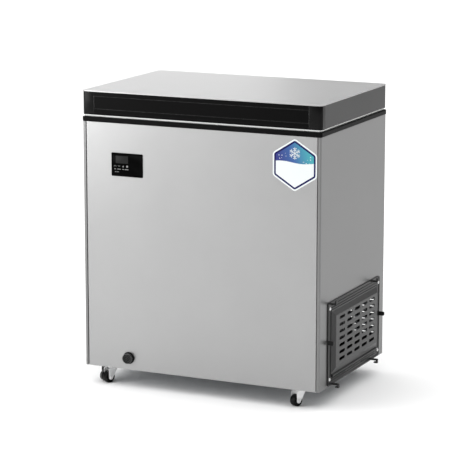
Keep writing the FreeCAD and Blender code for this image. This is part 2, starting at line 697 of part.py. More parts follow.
def vent_screw_set():
    """Four screws that hold the vent plate to the side panel."""
    screws = []
    for y in (VENT_FRONT + VENT_SCREW_INSET_Y, VENT_BACK - VENT_SCREW_INSET_Y):
        for z in (VENT_BOTTOM + VENT_SCREW_INSET_Z, VENT_TOP - VENT_SCREW_INSET_Z):
            screws.append(pan_screw(Vector(PLATE_FACE, y, z), X_AXIS, 5.0, 3.0, 2.0, 8.0))
    return screws


# ---------------------------------------------------------------- cooling machinery


def evaporator():
    """Cooling tube round the back, left and front of the tub, in several passes."""
    reach = TUBE_RADIUS + 1.0 + SHEET
    left = -OPENING_X - reach
    front = OPENING_FRONT - reach
    back = OPENING_BACK + reach
    right = STEP_X - 25
    top = FLANGE_TOP - 40
    bottom = LINER_FLOOR + 40
    riser = COMPARTMENT_LEFT + 40
    points = [Vector(riser, back, COMPARTMENT_HEIGHT + SHEET), Vector(riser, back, top)]
    for index in range(EVAPORATOR_PASSES):
        z = top - (top - bottom) * index / (EVAPORATOR_PASSES - 1)
        start_y, end_y = (back, front) if index % 2 == 0 else (front, back)
        if index > 0:
            points.append(Vector(right, start_y, z))
        points.append(Vector(left, start_y, z))
        points.append(Vector(left, end_y, z))
        if index < EVAPORATOR_PASSES - 1:
            points.append(Vector(right, end_y, z))
    points.append(Vector(COMPARTMENT_LEFT - SHEET, points[-1].y, bottom))
    return points


def condenser():
    """Warm tube behind the left side panel, fed along the back wall."""
    side = -HALF_CABINET + SHEET + TUBE_RADIUS + 1.0
    rear = BACK - SHEET - TUBE_RADIUS - 6.0
    front = FRONT + 45
    inner_rear = rear - 60
    top = CABINET_HEIGHT - 40
    bottom = 55.0
    points = [
        Vector(COMPARTMENT_LEFT + 90, rear, COMPARTMENT_HEIGHT + SHEET),
        Vector(COMPARTMENT_LEFT + 90, rear, top),
        Vector(side, rear, top),
    ]
    for index in range(CONDENSER_PASSES):
        z = top - (top - bottom) * index / (CONDENSER_PASSES - 1)
        ends = (inner_rear, front) if index % 2 == 0 else (front, inner_rear)
        if index > 0:
            points.append(Vector(side, ends[0], z))
        if index < CONDENSER_PASSES - 1:
            points.append(Vector(side, ends[1], z))
    points.append(Vector(side, rear, bottom))
    points.append(Vector(COMPARTMENT_LEFT - SHEET, rear, bottom))
    return points


def compressor_pot():
    """Hermetic compressor: domed pot, weld flange, feet plate and pipe stubs."""
    base = TRAY_SHEET + GROMMET_HEIGHT
    radius = COMPRESSOR_RADIUS
    top = base + COMPRESSOR_HEIGHT
    body = Part.makeCylinder(radius, COMPRESSOR_HEIGHT - 6, Vector(COMPRESSOR_X, COMPRESSOR_Y, base + 6))
    rims = [edge for edge in body.Edges if edge.Curve.TypeId == "Part::GeomCircle"]
    body = body.makeFillet(radius * 0.42, rims)
    seam_z = base + COMPRESSOR_HEIGHT * 0.52
    seam = Part.makeCylinder(radius + 2, 5, Vector(COMPRESSOR_X, COMPRESSOR_Y, seam_z))
    foot = radius + 18
    feet = rounded_block(
        COMPRESSOR_X - foot, COMPRESSOR_X + foot, COMPRESSOR_Y - foot, COMPRESSOR_Y + foot, base, base + 3, 14
    )
    column = Part.makeCylinder(radius * 0.7, 20, Vector(COMPRESSOR_X, COMPRESSOR_Y, base))
    stub = Vector(COMPRESSOR_X - 20, COMPRESSOR_Y, top)
    suction = rod(TUBE_RADIUS, stub - Z_AXIS * 20, stub + Z_AXIS * 10)
    holes = [Part.makeCylinder(5.0, 10, place + Z_AXIS * (base - 4)) for place in foot_places()]
    return cut_all(fuse_all([body, seam, feet, column, suction]), holes)


def foot_places():
    """Centres of the four compressor feet, at the tray's level."""
    reach = COMPRESSOR_RADIUS + 6
    places = []
    for x in (COMPRESSOR_X - reach, COMPRESSOR_X + reach):
        for y in (COMPRESSOR_Y - reach, COMPRESSOR_Y + reach):
            places.append(Vector(x, y, 0))
    return places


def grommet(place):
    """Waisted rubber foot with a sleeve through the compressor's foot plate."""
    lower = Part.makeCylinder(9, GROMMET_HEIGHT, place + Z_AXIS * TRAY_SHEET)
    sleeve = Part.makeCylinder(5, 3 + 4, place + Z_AXIS * (TRAY_SHEET + GROMMET_HEIGHT))
    collar_top = Part.makeCylinder(7, 3, place + Z_AXIS * (TRAY_SHEET + GROMMET_HEIGHT + 3))
    waist = Part.makeTorus(9.5, 1.5, place + Z_AXIS * (TRAY_SHEET + GROMMET_HEIGHT / 2))
    return fuse_all([lower, sleeve, collar_top]).cut(waist)


def machine_tray():
    """Steel tray that carries the compressor and closes the bottom on the right."""
    side = HALF_CABINET - SHEET
    return block(COMPARTMENT_LEFT - SHEET, side, FRONT + SHEET, BACK - SHEET, 0, TRAY_SHEET)


def relay_housing():
    """Terminal cover clipped on the front of the compressor."""
    z0 = TRAY_SHEET + GROMMET_HEIGHT + 45
    front = COMPRESSOR_Y - COMPRESSOR_RADIUS
    cover = block(COMPRESSOR_X - 28, COMPRESSOR_X + 28, front - 30, front + 12, z0, z0 + 52)
    cover = round_edges(cover, 5, Z_AXIS)
    hollow = Part.makeCylinder(COMPRESSOR_RADIUS + 2.5, 70, Vector(COMPRESSOR_X, COMPRESSOR_Y, z0 - 5))
    return cover.cut(hollow)


def drier():
    """Copper filter-drier with tapered ends, on the compartment's left wall."""
    x = COMPARTMENT_LEFT + 22
    y = COMPARTMENT_FRONT + 60
    body = Part.makeCylinder(10, 90, Vector(x, y, 90))
    low = Part.makeCone(4, 10, 12, Vector(x, y, 78))
    high = Part.makeCone(10, 4, 12, Vector(x, y, 180))
    return fuse_all([low, body, high])


def pipe_runs():
    """Suction, discharge and liquid pipes inside the compartment."""
    top = TRAY_SHEET + GROMMET_HEIGHT + COMPRESSOR_HEIGHT
    ceiling = COMPARTMENT_HEIGHT
    suction = [
        Vector(COMPRESSOR_X - 20, COMPRESSOR_Y, top + 10),
        Vector(COMPRESSOR_X - 20, COMPRESSOR_Y, top + 50),
        Vector(COMPARTMENT_LEFT + 40, COMPRESSOR_Y, top + 50),
        Vector(COMPARTMENT_LEFT + 40, OPENING_BACK + TUBE_RADIUS + 1.0 + SHEET, top + 50),
        Vector(COMPARTMENT_LEFT + 40, OPENING_BACK + TUBE_RADIUS + 1.0 + SHEET, ceiling),
    ]
    liquid = [
        Vector(COMPARTMENT_LEFT + 22, COMPARTMENT_FRONT + 60, 192),
        Vector(COMPARTMENT_LEFT + 22, COMPARTMENT_FRONT + 60, ceiling),
    ]
    low_liquid = [
        Vector(COMPARTMENT_LEFT + 22, COMPARTMENT_FRONT + 60, 78),
        Vector(COMPARTMENT_LEFT + 22, COMPARTMENT_FRONT + 60, 40),
        Vector(COMPARTMENT_LEFT + 22, BACK - SHEET - 30, 40),
        Vector(COMPARTMENT_LEFT, BACK - SHEET - 30, 40),
    ]
    return [
        bent_bar(suction, 12, TUBE_RADIUS),
        rod(3, liquid[0], liquid[1]),
        bent_bar(low_liquid, 10, 3),
    ]


def gland():
    """Empty cable gland in the rear panel, beside the compressor."""
    place = Vector(COMPARTMENT_LEFT + 170, BACK, 35)
    flange = Part.makeCylinder(11, 3, place, Y_AXIS)
    sleeve = Part.makeCylinder(8, SHEET + 8, place - Y_AXIS * (SHEET + 6), Y_AXIS)
    nose = Part.makeCone(9, 7, 9, place + Y_AXIS * 3, Y_AXIS)
    bore = Part.makeCylinder(4.5, 60, place - Y_AXIS * 30, Y_AXIS)
    return fuse_all([flange, sleeve, nose]).cut(bore)


# ---------------------------------------------------------------- lid


def lid_body(inset, z0, z1):
    """Prism of the lid's outline, drawn in by the inset."""
    return rounded_block(
        -HALF_LID + inset,
        HALF_LID - inset,
        inset,
        LID_DEPTH - inset,
        z0,
        z1,
        LID_CORNER - inset if LID_CORNER - inset > 1 else 1,
    )


def top_skin():
    """Steel sheet over the lid, with a shallow hem turned down all round."""
    outer = lid_body(0, LID_TOP - LID_HEM, LID_TOP)
    rim = [edge for edge in outer.Edges if abs(edge.CenterOfMass.z - LID_TOP) < 0.1]
    outer = outer.makeFillet(0.7, rim)
    return outer.cut(lid_body(LID_SKIN, LID_TOP - LID_HEM - 1, LID_TOP - LID_SKIN))


def front_channel():
    """Extruded handle channel along the lid's front, with a deep finger recess."""
    top = TRIM_TOP
    recess_top = top - TOP_LIP + LID_SKIN
    recess_bottom = LID_Z + BOTTOM_LIP
    y0 = TRIM_FACE
    y1 = TRIM_FACE + TRIM_DEPTH
    body = block(-CAP_INNER, CAP_INNER, y0, y1, LID_Z, top)
    recess = block(-CAP_INNER - 1, CAP_INNER + 1, y0 - 1, y0 + GRIP_DEPTH, recess_bottom, recess_top)
    recess = round_edges(recess, 4.0, X_AXIS, lambda p: p.y > y0 + 1)
    body = body.cut(recess)
    body = round_edges(body, 2.0, X_AXIS, lambda p: p.y < y0 + 0.1)
    wall = TRIM_WALL
    chambers = [
        block(-CAP_INNER - 1, CAP_INNER + 1, y0 + wall, y1 - wall, LID_Z + wall, recess_bottom - wall),
        block(-CAP_INNER - 1, CAP_INNER + 1, y0 + wall, y1 - wall, recess_top + wall, top - wall),
    ]
    return cut_all(body, chambers)


def corner_cap():
    """Right-hand end cap of the front channel, wrapped round the lid's corner."""
    outer = block(CAP_INNER, TRIM_SIDE, TRIM_FACE, CAP_RETURN, LID_Z, TRIM_TOP)
    corner = LID_CORNER - LID_SKIN
    outer = round_edges(outer, corner, Z_AXIS, lambda p: p.x > TRIM_SIDE - 0.1 and p.y < TRIM_FACE + 0.1)
    edges = []
    for edge in outer.Edges:
        middle = edge.CenterOfMass
        if abs(middle.z - LID_Z) < 0.1 and (middle.y < CAP_RETURN - 1 and middle.x > CAP_INNER + 1):
            edges.append(edge)
    outer = outer.makeFillet(1.5, edges)
    wall = TRIM_WALL
    side = TRIM_SIDE - wall
    front = TRIM_FACE + wall
    inner = block(CAP_INNER + wall, side, front, CAP_RETURN + 1, LID_Z + wall, TRIM_TOP - wall)
    inner = round_edges(inner, corner - wall, Z_AXIS, lambda p: p.x > side - 0.1 and p.y < front + 0.1)
    return outer.cut(inner)


def side_trim():
    """Right-hand trim strip on the lid's side, L-shaped, with a foot under the foam."""
    y0 = CAP_RETURN
    y1 = LID_DEPTH - CAP_RETURN
    outer = block(TRIM_SIDE - 14, TRIM_SIDE, y0, y1, LID_Z, TRIM_TOP)
    outer = round_edges(outer, 1.5, Y_AXIS, lambda p: p.x > TRIM_SIDE - 0.1 and p.z < LID_Z + 0.1)
    inner = block(TRIM_SIDE - 15, TRIM_SIDE - TRIM_WALL, y0 - 1, y1 + 1, LID_Z + TRIM_WALL, TRIM_TOP + 1)
    return outer.cut(inner)


def rear_channel():
    """Trim across the lid's back, wrapped round both rear corners."""
    y0 = LID_DEPTH - CAP_RETURN
    y1 = LID_DEPTH - LID_SKIN
    corner = LID_CORNER - LID_SKIN
    outer = block(-TRIM_SIDE, TRIM_SIDE, y0, y1, LID_Z, TRIM_TOP)
    outer = round_edges(outer, corner, Z_AXIS, lambda p: p.y > y1 - 0.1)
    wall = TRIM_WALL
    inner = block(-TRIM_SIDE + wall, TRIM_SIDE - wall, y0 - 1, y1 - wall, LID_Z + wall, TRIM_TOP + 1)
    inner = round_edges(inner, corner - wall, Z_AXIS, lambda p: p.y > y1 - wall - 0.1)
    return outer.cut(inner)


def lid_pan():
    """White inner liner of the lid: flat pan with a shallow raised panel over the storage space."""
    y0 = TRIM_FACE + TRIM_DEPTH
    pan = block(-TRIM_SIDE + 14, TRIM_SIDE - 14, y0, LID_DEPTH - CAP_RETURN, LID_Z, LID_Z + LID_LINER)
    inset = 14.0
    panel_bottom = LID_Z - LID_LINER_PANEL
    wide = mouth_prism(-inset, panel_bottom, LID_Z)
    rim = [edge for edge in wide.Edges if abs(edge.CenterOfMass.z - panel_bottom) < 0.1]
    wide = wide.makeFillet(3.0, rim)
    hollow = mouth_prism(-inset - LID_LINER, panel_bottom + LID_LINER, LID_Z + LID_LINER + 1)
    return fuse_all([pan, wide]).cut(hollow)


def lid_filling():
    """Foam core of the lid, shaped by everything round it."""
    core = lid_body(TRIM_WALL + LID_SKIN, LID_Z - LID_LINER_PANEL, LID_TOP - LID_SKIN)
    around = [nodes[name] for name in LID_SHELL_NODES]
    low = block(-HALF_LID, HALF_LID, 0, LID_DEPTH, LID_Z - 20, LID_Z)
    panel = mouth_prism(-14.0 - LID_LINER, LID_Z - LID_LINER_PANEL + LID_LINER, LID_Z)
    front = block(-CAP_INNER, CAP_INNER, 0, TRIM_FACE + TRIM_DEPTH, LID_Z, LID_TOP)
    core = cut_all(core, [low.cut(panel), front] + around)
    return largest_solid(core)


def largest_solid(shape):
    """The biggest of a shape's solids."""
    return max(shape.Solids, key=lambda solid: solid.Volume)


def gasket():
    """Magnetic seal round the lid's underside: a soft ring with a groove on its inner face."""
    outer = rounded_block(
        -HALF_LID + GASKET_INSET,
        HALF_LID - GASKET_INSET,
        GASKET_INSET,
        COLLAR_BACK - GASKET_INSET,
        COLLAR_Z,
        LID_Z,
        8,
    )
    far = GASKET_INSET + GASKET_WIDTH
    inner = rounded_block(-HALF_LID + far, HALF_LID - far, far, COLLAR_BACK - far, COLLAR_Z - 1, LID_Z + 1, 4)
    return outer.cut(inner)


# ---------------------------------------------------------------- hinges


def hinge_base(x):
    """Cabinet half of a hinge: plate on the rear panel and two ears that hold the pin."""
    half = HINGE_WIDTH / 2
    z1 = CABINET_HEIGHT - 6
    z0 = z1 - HINGE_PLATE_HEIGHT
    plate = block(x - half, x + half, BACK, BACK + HINGE_SHEET, z0, z1)
    pieces = [plate]
    for ear_x in (x - half, x + half - HINGE_SHEET):
        rear = HINGE_Y + HINGE_EYE
        outline = [
            (ear_x, BACK, z1 - 40),
            (ear_x, BACK, z1),
            (ear_x, HINGE_Y - HINGE_EYE, HINGE_Z),
            (ear_x, rear, HINGE_Z),
            (ear_x, rear, z1 - 20),
        ]
        pieces.append(prism(outline, Vector(HINGE_SHEET, 0, 0)))
        pieces.append(Part.makeCylinder(HINGE_EYE, HINGE_SHEET, Vector(ear_x, HINGE_Y, HINGE_Z), X_AXIS))
    bore_start = Vector(x - half - 5, HINGE_Y, HINGE_Z)
    bore = Part.makeCylinder(HINGE_PIN_RADIUS, HINGE_WIDTH + 10, bore_start, X_AXIS)
    holes = []
    for z in (z0 + 10, z0 + 25):
        for side in (-10, 10):
            holes.append(Part.makeCylinder(2.2, 10, Vector(x + side, BACK - 2, z), Y_AXIS))
    return cut_all(fuse_all(pieces), [bore] + holes)


def leaf_ear_x(x):
    """Left faces of a hinge leaf's two ears, just outside the base's ears."""
    outside = HINGE_WIDTH / 2 + FREE_CLEARANCE
    return (x - outside - HINGE_SHEET, x + outside)


def hinge_leaf(x):
    """Lid half of a hinge: plate on the lid's back and two ears that turn on the pin."""
    half = HINGE_WIDTH / 2 + FREE_CLEARANCE + HINGE_SHEET
    y0 = LID_DEPTH - LID_SKIN
    z0 = LID_Z + 8
    z1 = TRIM_TOP - LID_HEM - 2
    pieces = [block(x - half, x + half, y0, y0 + HINGE_SHEET, z0, z1)]
    for ear_x in leaf_ear_x(x):
        outline = [
            (ear_x, y0, z0),
            (ear_x, y0, z1 - 15),
            (ear_x, HINGE_Y + HINGE_EYE, HINGE_Z + 4),
            (ear_x, HINGE_Y, HINGE_Z),
            (ear_x, HINGE_Y - HINGE_EYE, HINGE_Z + 1),
        ]
        pieces.append(prism(outline, Vector(HINGE_SHEET, 0, 0)))
        pieces.append(Part.makeCylinder(HINGE_EYE, HINGE_SHEET, Vector(ear_x, HINGE_Y, HINGE_Z), X_AXIS))
    bore_radius = HINGE_PIN_RADIUS + RUNNING_CLEARANCE
    bore = Part.makeCylinder(bore_radius, 2 * half + 10, Vector(x - half - 5, HINGE_Y, HINGE_Z), X_AXIS)
    holes = []
    for z in (z1 - 8, z1 - 22):
        for side in (-12, 12):
            holes.append(Part.makeCylinder(2.2, 10, Vector(x + side, y0 - 3, z), Y_AXIS))
    return cut_all(fuse_all(pieces), [bore] + holes)


def hinge_pin(x):
    """Headed pin through both halves of a hinge."""
    half = HINGE_WIDTH / 2 + 2 * FREE_CLEARANCE + HINGE_SHEET
    shaft = Part.makeCylinder(HINGE_PIN_RADIUS, 2 * half, Vector(x - half, HINGE_Y, HINGE_Z), X_AXIS)
    heads = []
    for head_x in (x - half - 2, x + half):
        heads.append(Part.makeCylinder(HINGE_PIN_RADIUS + 2, 2, Vector(head_x, HINGE_Y, HINGE_Z), X_AXIS))
    return fuse_all([shaft] + heads)


def hinge_spring(x):
    """Counterbalance coil round a hinge pin, between the base's ears."""
    length = HINGE_WIDTH - 2 * HINGE_SHEET - 4
    pitch = length / SPRING_TURNS
    helix = Part.makeHelix(pitch, length, SPRING_RADIUS)
    section = Part.Wire(Part.makeCircle(SPRING_WIRE, Vector(SPRING_RADIUS, 0, 0), Y_AXIS))
    coil = Part.Wire(helix.Edges).makePipeShell([section], True, True)
    coil.rotate(Vector(0, 0, 0), Y_AXIS, 90)
    coil.translate(Vector(x - length / 2, HINGE_Y, HINGE_Z))
    return coil


def base_screws(x):
    """Four screws of one hinge base."""
    z0 = CABINET_HEIGHT - 6 - HINGE_PLATE_HEIGHT
    screws = []
    for z in (z0 + 10, z0 + 25):
        for side in (-10, 10):
            screws.append(pan_screw(Vector(x + side, BACK + HINGE_SHEET, z), Y_AXIS, 4.5, 2.5, 2.2, 7))
    return screws


def leaf_screws(x):
    """Four screws of one hinge leaf."""
    z1 = TRIM_TOP - LID_HEM - 2
    y = LID_DEPTH - LID_SKIN + HINGE_SHEET
    screws = []
    for z in (z1 - 8, z1 - 22):
        for side in (-12, 12):
            screws.append(pan_screw(Vector(x + side, y, z), Y_AXIS, 4.5, 2.5, 2.2, 12))
    return screws


# ---------------------------------------------------------------- casters


def caster_plate(x, y):
    """Bolted top plate of a caster with its swivel race and kingpin bore."""
    plate = rounded_block(x - 26, x + 26, y - 23, y + 23, -CASTER_PLATE, 0, 4)
    race = Part.makeCylinder(RACE_RADIUS, RACE_HEIGHT, Vector(x, y, RACE_BOTTOM))
    bore_start = Vector(x, y, RACE_BOTTOM - 0.5)
    bore = Part.makeCylinder(KINGPIN_RADIUS + RUNNING_CLEARANCE, RACE_HEIGHT + 1, bore_start)
    return fuse_all([plate, race]).cut(bore)


def bolt_places(x, y):
    """Corners of a caster's bolt rectangle."""
    return [(x + side_x, y + side_y) for side_x in (-20, 20) for side_y in (-17, 17)]


def caster_bolt(x, y):
    """Hexagon bolt through a caster plate into the cabinet's floor."""
    corners = []
    for index in range(6):
        angle = math.pi * index / 3
        corners.append((x + 4.2 * math.cos(angle), y + 4.2 * math.sin(angle), -CASTER_PLATE - 3.0))
    head = prism(corners, Vector(0, 0, 3.0))
    return head.fuse(Part.makeCylinder(2.5, CASTER_PLATE + 8, Vector(x, y, -CASTER_PLATE)))


def turned(shape, x, y):
    """A caster part, made with its axle along X and trailing to -Y, put in its place."""
    shape = shape.copy()
    shape.rotate(Vector(0, 0, 0), Z_AXIS, CASTER_TURN)
    shape.translate(Vector(x, y, 0))
    return shape


def fork_leg(x0):
    """Tapered side plate of a fork, rounded at the axle."""
    axle = Vector(x0, -CASTER_TRAIL, AXLE_Z)
    end_radius = 7.5
    outline = [
        (x0, 10.0, CROWN_TOP),
        (x0, 10.0, CROWN_BOTTOM - 2),
        (x0, -CASTER_TRAIL + end_radius * 0.95, AXLE_Z - end_radius * 0.2),
        (x0, -CASTER_TRAIL - end_radius, AXLE_Z),
        (x0, -CASTER_TRAIL - end_radius, CROWN_BOTTOM - 2),
        (x0, -CASTER_TRAIL + 1.0, CROWN_TOP),
    ]
    plate = prism(outline, Vector(FORK_SHEET, 0, 0))
    eye = Part.makeCylinder(end_radius, FORK_SHEET, axle, X_AXIS)
    return plate.fuse(eye)


def caster_fork():
    """Fork, kingpin and riveted axle of one caster."""
    crown = Part.makeCylinder(CROWN_RADIUS, CROWN_HEIGHT, Vector(0, 0, CROWN_BOTTOM))
    bridge = block(-LEG_OUTER, LEG_OUTER, -CASTER_TRAIL + 1.0, 10.0, CROWN_BOTTOM, CROWN_TOP)
    kingpin = Part.makeCylinder(KINGPIN_RADIUS, CASTER_PLATE + RACE_HEIGHT - 3, Vector(0, 0, CROWN_TOP))
    fork = fuse_all([crown, bridge, kingpin, fork_leg(-LEG_OUTER), fork_leg(LEG_INNER)])
    head = 2.0
    shaft = Part.makeCylinder(AXLE_RADIUS, 2 * LEG_OUTER, Vector(-LEG_OUTER, -CASTER_TRAIL, AXLE_Z), X_AXIS)
    pieces = [shaft]
    for x in (-LEG_OUTER - head, LEG_OUTER):
        pieces.append(Part.makeCylinder(AXLE_RADIUS + 1.8, head, Vector(x, -CASTER_TRAIL, AXLE_Z), X_AXIS))
    return [fork.cut(shaft), fuse_all(pieces)]


def caster_wheel():
    """Moulded wheel with a rounded tread and a running bore."""
    start = Vector(-WHEEL_WIDTH / 2, -CASTER_TRAIL, AXLE_Z)
    wheel = Part.makeCylinder(WHEEL_RADIUS, WHEEL_WIDTH, start, X_AXIS)
    rims = [edge for edge in wheel.Edges if edge.Curve.TypeId == "Part::GeomCircle"]
    wheel = wheel.makeFillet(WHEEL_ROUNDING, rims)
    bore = Part.makeCylinder(AXLE_RADIUS + RUNNING_CLEARANCE, WHEEL_WIDTH + 2, start - X_AXIS, X_AXIS)
    return wheel.cut(bore)


def brake_lever():
    """Brake lever on the outer side of the front left fork: a round pedal and an upper strap."""
    axle_start = -LEG_OUTER - 2.0 - FREE_CLEARANCE
    thickness = 12.0
    outer = axle_start - thickness
    disc = Part.makeCylinder(WHEEL_RADIUS - 1.5, thickness, Vector(outer, -CASTER_TRAIL, AXLE_Z), X_AXIS)
    rim = [edge for edge in disc.Edges if abs(edge.CenterOfMass.x - outer) < 0.1 and edge.Length > 20]
    disc = disc.makeFillet(6.0, rim)
    strap_top = CROWN_TOP - 1.0
    middle = -CASTER_TRAIL
    strap = block(outer, outer + 2, middle - 5, middle + 5, AXLE_Z, strap_top)
    roof = block(outer, axle_start, middle - 5, middle + 5, strap_top - 2, strap_top)
    inner_arm = block(axle_start - 2, axle_start, middle - 5, middle + 5, AXLE_Z, strap_top)
    return fuse_all([disc, strap, roof, inner_arm])


# ---------------------------------------------------------------- basket


def basket():
    """Wire basket that hangs across the tub on the collar's ledges. Crossing wires lap, as welded ones do."""
    wire = BASKET_WIRE
    lap = BASKET_LAP
    x1 = BASKET_RIGHT - lap
    x0 = BASKET_RIGHT - BASKET_WIDTH + lap
    y0 = OPENING_FRONT + COLLAR_LIP + BASKET_GAP + lap
    y1 = OPENING_BACK - COLLAR_LIP - BASKET_GAP - lap
    top = LEDGE_Z - BASKET_DROP
    bottom = top - BASKET_DEPTH
    bend = 12.0
    pieces = []
    for z in (top, (top + bottom) / 2):
        middle = (x0 + x1) / 2
        loop = [
            Vector(middle, y0 - lap, z),
            Vector(x1 + lap, y0 - lap, z),
            Vector(x1 + lap, y1 + lap, z),
            Vector(x0 - lap, y1 + lap, z),
            Vector(x0 - lap, y0 - lap, z),
            Vector(middle, y0 - lap, z),
        ]
        pieces.append(bent_bar(loop, bend, wire))
    for index in range(BASKET_SLATS):
        x = x0 + bend + (x1 - x0 - 2 * bend) * index / (BASKET_SLATS - 1)
        low = bottom + lap
        corners = [(x, y0, top), (x, y0, low), (x, y1, low), (x, y1, top)]
        pieces.append(bent_bar([Vector(*corner) for corner in corners], bend, wire))
    for index in range(BASKET_RIBS):
        y = y0 + bend + (y1 - y0 - 2 * bend) * index / (BASKET_RIBS - 1)
        corners = [(x0, y, top), (x0, y, bottom), (x1, y, bottom), (x1, y, top)]
        pieces.append(bent_bar([Vector(*corner) for corner in corners], bend, wire))
    rest_z = LEDGE_Z + FREE_CLEARANCE + wire
    for inner, outward in ((y0 - lap, -1), (y1 + lap, 1)):
        far = inner + outward * (BASKET_GAP + COLLAR_LIP + LEDGE_WIDTH * 0.5)
        start = inner + outward * lap
        hanger = [
            Vector(x0 + 30, start, top - wire),
            Vector(x0 + 30, start, rest_z),
            Vector(x0 + 30, far, rest_z),
            Vector(x1 - 30, far, rest_z),
            Vector(x1 - 30, start, rest_z),
            Vector(x1 - 30, start, top - wire),
        ]
        pieces.append(bent_bar(hanger, 3.0, wire))
    return fuse_all(pieces)


# ---------------------------------------------------------------- assembly

LID_SHELL_NODES = (
    "lid_top_skin",
    "lid_front_trim",
    "lid_corner_cap_left",
    "lid_corner_cap_right",
    "lid_side_trims",
    "lid_rear_trim",
    "lid_inner_liner",
    "lid_hinge_screws",
)
FOAM_NEIGHBOURS = (
    "front_panel",
    "left_side_panel",
    "right_side_panel",
    "control_box",
    "caster_bolts",
    "hinge_screws",
)


def build_cabinet():
    """Panels, liner, collar and the fittings that belong to them."""
    right = side_sheet()
    nodes["left_side_panel"] = mirror_x(right)
    openings = [vent_opening(VENT_X - 5, VENT_X + 5)]
    for screw in vent_screw_set():
        openings.append(screw)
    nodes["right_side_panel"] = cut_all(right, openings)
    nodes["front_panel"] = front_sheet()
    nodes["rear_panel"] = rear_sheet()
    nodes["bottom_panel"] = block(
        -HALF_CABINET + SHEET, COMPARTMENT_LEFT - SHEET, FRONT + SHEET, BACK - SHEET, 0, TRAY_SHEET
    )
    folded = [nodes["front_panel"], nodes["left_side_panel"], right]
    nodes["bottom_panel"] = cut_all(nodes["bottom_panel"], folded)
    nodes["compartment_liner"] = cut_all(compartment_walls(), folded)
    nodes["inner_liner"] = storage_liner()
    nodes["collar_frame"] = collar()
    nodes["control_panel"] = control_bezel()
    nodes["display_window"] = display()
    nodes["control_box"] = control_box_walls()
    nodes["control_board"] = control_circuit()
    nodes["badge_label"] = badge()
    nodes["drain_outlet"] = drain_spigot()
    nodes["drain_cap"] = drain_screw_cap()
    nodes["drain_tube"] = drain_hose()
    nodes["liner_drain_plug"] = floor_plug()


def build_vent():
    """Vent plate, grille and screws on the right side."""
    screws = vent_screw_set()
    nodes["vent_frame"] = cut_all(vent_plate(), screws)
    nodes["vent_grille"] = cut_all(grille(), screws)
    nodes["vent_screws"] = Part.makeCompound(screws)


def build_machinery():
    """Compressor, pipework and the coils in the foam."""
    folded = [nodes["front_panel"], nodes["right_side_panel"]]
    nodes["compressor_tray"] = largest_solid(cut_all(machine_tray(), folded))
    nodes["compressor"] = compressor_pot()
    nodes["compressor_grommets"] = Part.makeCompound([grommet(place) for place in foot_places()])
    nodes["relay_cover"] = relay_housing()
    nodes["filter_drier"] = drier()
    nodes["refrigerant_pipes"] = Part.makeCompound(pipe_runs())
    nodes["power_gland"] = gland()
    nodes["rear_panel"] = nodes["rear_panel"].cut(gland()).cut(
        Part.makeCylinder(6, 20, Vector(COMPARTMENT_LEFT + 170, BACK - 10, 35), Y_AXIS)
    )
    nodes["evaporator_coil"] = bent_bar(evaporator(), TUBE_BEND, TUBE_RADIUS)
    nodes["condenser_coil"] = bent_bar(condenser(), TUBE_BEND, TUBE_RADIUS)


def build_hinges():
    """Both hinges with their pins, springs and screws."""
    nodes["hinge_brackets"] = Part.makeCompound([hinge_base(x) for x in HINGE_PLACES])
    nodes["hinge_leaves"] = Part.makeCompound([hinge_leaf(x) for x in HINGE_PLACES])
    nodes["hinge_pins"] = Part.makeCompound([hinge_pin(x) for x in HINGE_PLACES])
    nodes["hinge_springs"] = Part.makeCompound([hinge_spring(x) for x in HINGE_PLACES])
    cabinet_screws = []
    lid_screws = []
    for x in HINGE_PLACES:
        cabinet_screws += base_screws(x)
        lid_screws += leaf_screws(x)
    nodes["hinge_screws"] = Part.makeCompound(cabinet_screws)
    nodes["lid_hinge_screws"] = Part.makeCompound(lid_screws)
    nodes["rear_panel"] = cut_all(nodes["rear_panel"], cabinet_screws)


def build_casters():
    """Four casters, and the brake lever of the front left one."""
    plates = []
    bolts = []
    for place, (x, y) in CASTER_PLACES.items():
        plate = caster_plate(x, y)
        for bolt_x, bolt_y in bolt_places(x, y):
            bolt = caster_bolt(bolt_x, bolt_y)
            plate = plate.cut(bolt)
            bolts.append(bolt)
        plates.append(plate)
        fork = Part.makeCompound(caster_fork())
        nodes["caster_fork_" + place] = turned(fork, x, y)
        nodes["caster_wheel_" + place] = turned(caster_wheel(), x, y)
    x, y = CASTER_PLACES["front_left"]
    nodes["caster_brake_lever"] = turned(brake_lever(), x, y)
    nodes["caster_plates"] = Part.makeCompound(plates)
    nodes["caster_bolts"] = Part.makeCompound(bolts)
    nodes["bottom_panel"] = cut_all(nodes["bottom_panel"], bolts)
    nodes["compressor_tray"] = cut_all(nodes["compressor_tray"], bolts)


def build_lid():
    """Everything that turns with the lid."""
    nodes["lid_top_skin"] = top_skin()
    nodes["lid_front_trim"] = front_channel()
    cap = corner_cap()
    nodes["lid_corner_cap_right"] = cap
    nodes["lid_corner_cap_left"] = mirror_x(cap)
    trim = side_trim()
    nodes["lid_side_trims"] = Part.makeCompound([mirror_x(trim), trim])
    nodes["lid_rear_trim"] = cut_all(rear_channel(), nodes["lid_hinge_screws"].Solids)
    nodes["lid_inner_liner"] = cut_all(lid_pan(), [cap, nodes["lid_corner_cap_left"]])
    nodes["lid_gasket"] = gasket()
    nodes["lid_foam"] = lid_filling()


